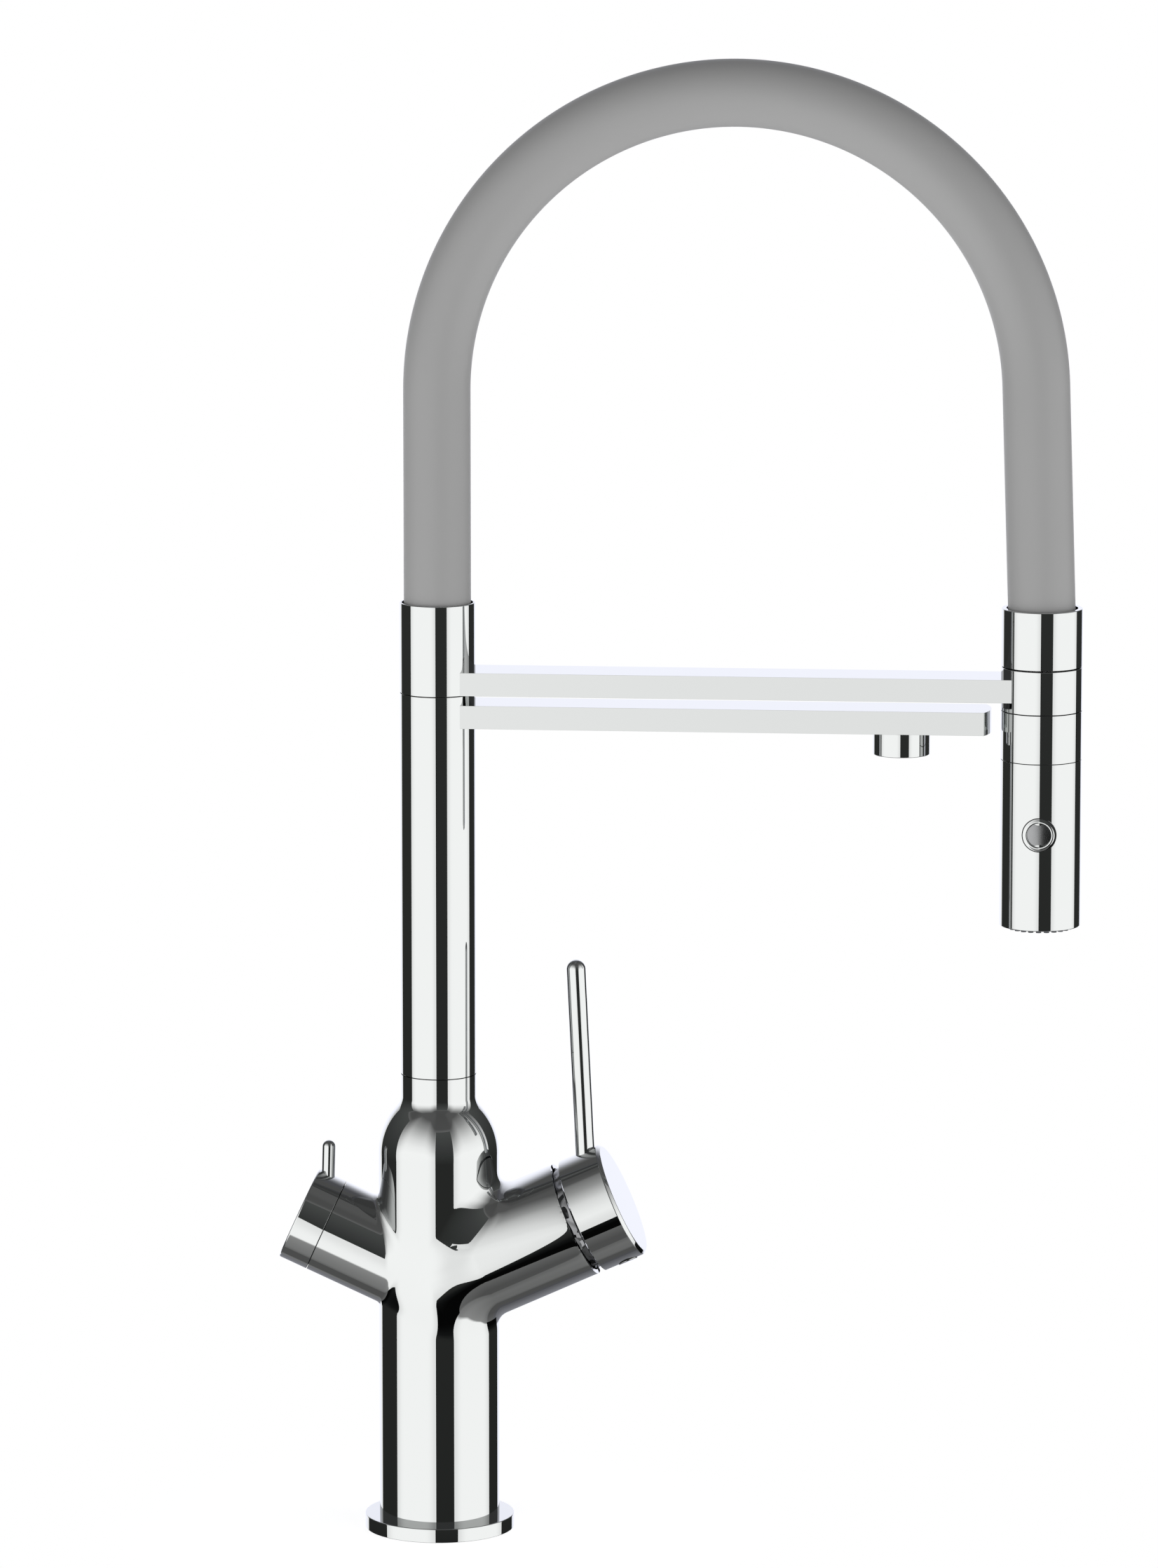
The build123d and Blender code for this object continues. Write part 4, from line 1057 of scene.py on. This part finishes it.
# %% Normals of the body
skin_tolerance = 0.02
same_side = 0.5
mesh = body.data
corner_points = np.zeros(len(mesh.vertices) * 3)
mesh.vertices.foreach_get("co", corner_points)
corner_points = corner_points.reshape(-1, 3) / mm
exact = body_slope(corner_points)
exact /= np.linalg.norm(exact, axis=1)[:, None]
on_skin = (abs(body_distance(corner_points)) < skin_tolerance) & (corner_points[:, 2] > chamfer_top)
corner_normals = np.zeros((len(mesh.loops), 3))
for polygon in mesh.polygons:
    corners = [mesh.loops[index].vertex_index for index in polygon.loop_indices]
    if on_skin[corners].all() and Vector(exact[corners[0]]).dot(polygon.normal) > same_side:
        for index, corner in zip(polygon.loop_indices, corners):
            corner_normals[index] = exact[corner]
body.modifiers.clear()
mesh.normals_split_custom_set(corner_normals.tolist())
print("corners with exact normals:", int((abs(corner_normals).sum(axis=1) > 0).sum()))

# %% [markdown]
# ## Hose
# The silicone hose is one smooth tube: a leg out of the sleeve, a wide arch, and a leg that
# leans out a little on its way down to the spray. A ring of edges is drawn up, spun over and
# drawn down, and the skin is then given its wall.

# %% Hose
hose_wall = 2.83
hose_centre_z = 430.0
arch_radius = 110.38
hose_lean = 1.87
hose_sides = 96
arch_steps = 180


def drawn(bm, ring, way):
    """Draws a ring of edges along a way and gives back the new ring."""
    made = bmesh.ops.extrude_edge_only(bm, edges=ring)["geom"]
    bmesh.ops.translate(bm, verts=[v for v in made if isinstance(v, bmesh.types.BMVert)], vec=way)
    return [edge for edge in made if isinstance(edge, bmesh.types.BMEdge)]


bm = bmesh.new()
bmesh.ops.create_circle(bm, segments=hose_sides, radius=hose_radius * mm)
bmesh.ops.translate(bm, verts=bm.verts, vec=(0, 0, hose_seat * mm))
ring = drawn(bm, list(bm.edges), (0, 0, (hose_centre_z - hose_seat) * mm))
over = bmesh.ops.spin(
    bm,
    geom=ring,
    cent=(arch_radius * mm, 0, hose_centre_z * mm),
    axis=(0, 1, 0),
    angle=math.radians(180 - hose_lean),
    steps=arch_steps,
)
ring = [edge for edge in over["geom_last"] if isinstance(edge, bmesh.types.BMEdge)]
lean = math.radians(hose_lean)
arch_end_z = hose_centre_z + arch_radius * math.sin(lean)
leg_length = (arch_end_z - hose_seat) / math.cos(lean) * mm
drawn(bm, ring, Vector((math.sin(lean), 0, -math.cos(lean))) * leg_length)
bmesh.ops.recalc_face_normals(bm, faces=bm.faces)
bmesh.ops.solidify(bm, geom=list(bm.faces), thickness=hose_wall * mm)
make_piece(bm, "grey_hose", "silicone_hose")

# %% [markdown]
# ## Upper arm
# Both arms are flat bars with crisp edges, hardly broken by the polishing. Both ends of the upper
# one are hidden, in the sleeve and in the spray's ring, so a block with rounded long edges does.

# %% Upper arm
arm_width = 21.0
arm_edge = 0.04
reach = 223.6
upper_low, upper_high = heights("holder_arm")
bm = bmesh.new()
bmesh.ops.create_cube(bm, size=1)
bmesh.ops.scale(bm, vec=Vector((reach, arm_width, upper_high - upper_low)) * mm, verts=bm.verts)
bmesh.ops.translate(bm, vec=Vector((reach, 0, upper_low + upper_high)) / 2 * mm, verts=bm.verts)
long_edges = [e for e in bm.edges if abs(e.verts[0].co.x - e.verts[1].co.x) > arm_width * mm]
broken_edges(bm, long_edges, arm_edge)
make_piece(bm, "upper_arm", "holder_arm")

# %% [markdown]
# ## Lower arm
# The lower arm ends in a shallow arc. Its outline is a spun row of points and the two corners of
# its root, drawn up into a block. The root lies inside the riser, and its edges stay sharp.

# %% Lower arm
crisp_angle = 0.5
root_part = 1
lower_low, lower_high = heights("filtered_water_arm")
lower_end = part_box("filtered_water_arm")[1].x / mm
arm_end_radius = 25.0
arm_end_steps = 32
half_width = arm_width / 2
arc_axis = lower_end - arm_end_radius
corner_turn = math.asin(half_width / arm_end_radius)
arc_start = arc_axis + arm_end_radius * math.cos(corner_turn)
bm = bmesh.new()
bmesh.ops.spin(
    bm,
    geom=[bm.verts.new(Vector((arc_start, -half_width, lower_low)) * mm)],
    cent=Vector((arc_axis, 0, lower_low)) * mm,
    axis=(0, 0, 1),
    angle=2 * corner_turn,
    steps=arm_end_steps,
)
rim = sorted(bm.verts, key=lambda vertex: vertex.co.y)
root = [bm.verts.new(Vector((0, side * half_width, lower_low)) * mm) for side in (1, -1)]
made = bmesh.ops.extrude_face_region(bm, geom=[bm.faces.new(rim + root)])["geom"]
bmesh.ops.translate(
    bm,
    verts=[v for v in made if isinstance(v, bmesh.types.BMVert)],
    vec=(0, 0, (lower_high - lower_low) * mm),
)
crisp = [e for e in bm.edges if len(e.link_faces) == 2 and e.calc_face_angle() > crisp_angle]
crisp = [e for e in crisp if max(v.co.x for v in e.verts) > root_part * mm]
broken_edges(bm, crisp, arm_edge)
bmesh.ops.recalc_face_normals(bm, faces=bm.faces)
make_piece(bm, "lower_arm", "filtered_water_arm")

# %% [markdown]
# ## Outlet
# The filtered water leaves by a short turned outlet under the lower arm, with an aerator set in.

# %% Outlet
outlet_x = 172.0
outlet_low = heights("filter_outlet")[0]
outlet_radius = 10.56
outlet_round = 0.3
outlet_bore = 7.6
aerator_radius = 8.6
aerator_depth = 6
aerator_top = outlet_low + aerator_depth
aerator_round = 0.15
bm = turned((
    (aerator_radius, outlet_low, aerator_round),
    (outlet_radius, outlet_low, outlet_round),
    (outlet_radius, lower_low, 0),
    (outlet_bore, lower_low, 0),
    (outlet_bore, aerator_top, 0),
    (aerator_radius, aerator_top, 0),
))
stand(bm, (outlet_x * mm, 0, 0))
make_piece(bm, "water_outlet", "filter_outlet")

# %% [markdown]
# ## Spray column
# Four turned pieces of one diameter hang under each other: the hose's connector, the ring that
# ends the upper arm, the collar that docks under it, and the spray.

# %% Spray column
head_axis = (reach * mm, 0, 0)
head_radius = 14.95
connector_high = heights("hose_connector")[1]
connector_seam = 330.2
connector_round = 0.3
ring_low, ring_high = heights("holder_ring")
ring_round = 0.4
collar_low = 295.5
collar_high = heights("spray_collar")[1]
shell_low, shell_high = heights("spray_body")
shell_round = 0.4
narrow_bore = 9.0
wide_bore = 13.2
column_pieces = (
    (
        "connector",
        "hose_connector",
        wide_bore,
        (connector_seam, seam_round),
        (connector_high, connector_round),
    ),
    ("spray_holder", "holder_ring", narrow_bore, (ring_low, seam_round), (ring_high, ring_round)),
    ("collar", "spray_collar", narrow_bore, (collar_low, seam_round), (collar_high, seam_round)),
    ("spray_shell", "spray_body", wide_bore, (shell_low, shell_round), (shell_high, seam_round)),
)
# The end faces in the seams carry painted shade.
for name, node, bore, foot, top in column_pieces:
    seams = [(level, level) for level, rounding in (foot, top) if rounding == seam_round]
    outline = ((bore, foot[0], 0), (head_radius, *foot), (head_radius, *top), (bore, top[0], 0))
    bm = turned(outline, painted_shade_ranges=seams)
    stand(bm, head_axis)
    make_piece(bm, name, node)

# %% [markdown]
# ## Button
# A glossy ring with a sloping rim frames a satin button that changes the jet. The button is
# slightly domed, so that its blurred mirror image runs from light to dark.

# %% Button
button_z = 269.2
bezel_radius = 6.4
bezel_bore = 4.5
bezel_proud = 0.45
bezel_depth = 5.0
bezel_flat = 5.2
bezel_rim = 6.05
bezel_slope = 0.4
bezel_bore_round = 0.15
bezel_rim_round = 0.2
button_play = 0.06
button_inset = 0.25
button_length = 5.5
button_dome_radius = 33.0
dome_rings = 6
into_spray = (0, 1, 0)
bezel_face = Vector((reach, -head_radius - bezel_proud, button_z)) * mm
# The step behind the sloping rim carries painted shade, a dark line round the ring.
bm = turned(
    (
        (bezel_bore, 0, bezel_bore_round),
        (bezel_flat, 0, bezel_rim_round),
        (bezel_rim, bezel_slope, 0),
        (bezel_radius, bezel_slope, 0),
        (bezel_radius, bezel_depth, 0),
        (bezel_bore, bezel_depth, 0),
    ),
    painted_shade_ranges=((bezel_slope, bezel_slope),),
)
stand(bm, bezel_face, into_spray)
make_piece(bm, "button_ring", "button_bezel")

button_radius = bezel_bore - button_play
dome = []
for number in range(dome_rings):
    radius = button_radius * number / (dome_rings - 1)
    dome.append((radius, button_inset + radius ** 2 / (2 * button_dome_radius), 0))
bm = turned((
    *dome,
    (button_radius, button_inset + button_length, 0),
    (0, button_inset + button_length, 0),
))
stand(bm, bezel_face, into_spray)
make_piece(bm, "jet_button", "spray_button")

# %% [markdown]
# ## Mixer lever
# The mixer's barrel ends in a turned cap. Behind the cap stands the dark nut that holds the
# cartridge, and the cap is hollow behind, so that it clears the nut when the lever tilts.

# %% Nut and cap
nut_radius = 20.0
nut_bore = 10.0
nut_depth = 4.0
nut_top = 58.8
nut_round = 0.3
# The nut's dark plate is painted shade for the groove between the barrel and the cap.
bm = turned((
    (nut_bore, mixer_seam - nut_depth, 0),
    (nut_radius, mixer_seam - nut_depth, 0),
    (nut_radius, nut_top, nut_round),
    (nut_bore, nut_top, 0),
))
stand(bm, body_point(0, mixer_way), mixer_way)
make_piece(bm, "dark_nut", "cartridge_nut")

cap_start = 59.5
cap_end = 76.0
cap_edge = 1.15
cap_round = 0.3
cap_sharp_angle = 30
cap_wall = 1.7
cap_hollow = mixer_radius - cap_wall
cap_hollow_depth = 3.0
bm = turned((
    (0, cap_start + cap_hollow_depth, 0),
    (cap_hollow, cap_start + cap_hollow_depth, 0),
    (cap_hollow, cap_start, 0),
    (mixer_radius, cap_start, seam_round),
    (mixer_radius, cap_end - cap_edge, cap_round),
    (mixer_radius - cap_edge, cap_end, cap_round),
    (0, cap_end, 0),
))
stand(bm, body_point(0, mixer_way), mixer_way)
make_piece(bm, "mixer_cap", "lever_cap", sharp=cap_sharp_angle)

# %% [markdown]
# ## Screw cover
# A small round plug in the underside of the cap hides the screw that holds the lever. Its face
# and its edge are polished, and its side carries painted shade, so that a dark line goes round it.

# %% Screw cover
plug_radius = 3.75
plug_face = 22.4
plug_length = 2.5
plug_along = 68.6
plug_turn = 13.0
plug_round = 0.25
plug_shine = 0.3
under_barrel = Matrix.Rotation(-math.radians(plug_turn), 3, mixer_way) @ -Vector(mixer_up)
# The plug's side carries painted shade.
bm = turned(
    (
        (0, plug_face - plug_length, 0),
        (plug_radius, plug_face - plug_length, 0),
        (plug_radius, plug_face, plug_round),
        (0, plug_face, 0),
    ),
    painted_shade_ranges=((plug_face - plug_length, plug_face - plug_shine),),
)
stand(bm, body_point(plug_along, mixer_way), under_barrel)
make_piece(bm, "screw_cover", "screw_plug")

# %% [markdown]
# ## Lever
# A long round rod stands up from the cap and ends in half a ball. A ball loses its lower half,
# and the rim that is left is drawn down to the seat of the rod. The same function makes the
# knob's pin.

# %% Lever
ball_sides = 64
ball_rings = 32
below_middle = 0.001
lever_radius = 3.6
lever_seat = 8
lever_root = (69.7, 20.8)
lever_top = (97.0, 89.7)


def beside_barrel(way, along, rise):
    """A point along a barrel and up from its axis, in metres."""
    up = Vector((0, 1, 0)).cross(Vector(way))
    if up.z < 0:
        up = -up
    return body_point(along, way) + up * rise * mm


def rod(way, root, top, seat, radius, name, node):
    """A round rod with half a ball at its top, let in by a seat below its root.

    Root and top are given as the way along a barrel and the rise from its axis.
    """
    foot = beside_barrel(way, *root)
    head = beside_barrel(way, *top)
    start = foot + (foot - head).normalized() * seat * mm
    straight = (head - start).length - radius * mm
    bm = bmesh.new()
    bmesh.ops.create_uvsphere(
        bm, u_segments=ball_sides, v_segments=ball_rings, radius=radius * mm
    )
    lower = [v for v in bm.verts if v.co.z < -below_middle * mm]
    bmesh.ops.delete(bm, geom=lower, context="VERTS")
    bmesh.ops.translate(bm, verts=bm.verts, vec=(0, 0, straight))
    drawn(bm, [e for e in bm.edges if e.is_boundary], (0, 0, -straight))
    bmesh.ops.holes_fill(bm, edges=[e for e in bm.edges if e.is_boundary])
    bmesh.ops.recalc_face_normals(bm, faces=bm.faces)
    stand(bm, start, (head - start).normalized())
    make_piece(bm, name, node)


rod(mixer_way, lever_root, lever_top, lever_seat, lever_radius, "lever", "lever_rod")

# %% [markdown]
# ## Filter knob
# The barrel for filtered water ends in a short knob, turned by a small pin. A narrower neck closes
# the seam behind the knob; it is dark and matt, as painted shade for the depth of the seam.

# %% Filter knob and pin
knob_start = 46.65
knob_end = 57.8
knob_neck = 16.2
knob_neck_start = 45.0
knob_round = 0.65
pin_radius = 2.45
pin_seat = 6
pin_root = (53.2, 16.5)
pin_top = (58.9, 30.0)
# The neck and the seam behind the knob carry painted shade.
bm = turned(
    (
        (0, knob_neck_start, 0),
        (knob_neck, knob_neck_start, 0),
        (knob_neck, knob_start, 0),
        (filter_radius, knob_start, seam_round),
        (filter_radius, knob_end, knob_round),
        (0, knob_end, 0),
    ),
    painted_shade_ranges=((knob_neck_start, knob_start),),
)
stand(bm, body_point(0, filter_way), filter_way)
make_piece(bm, "knob", "filter_knob")
rod(filter_way, pin_root, pin_top, pin_seat, pin_radius, "knob_pin", "filter_pin")
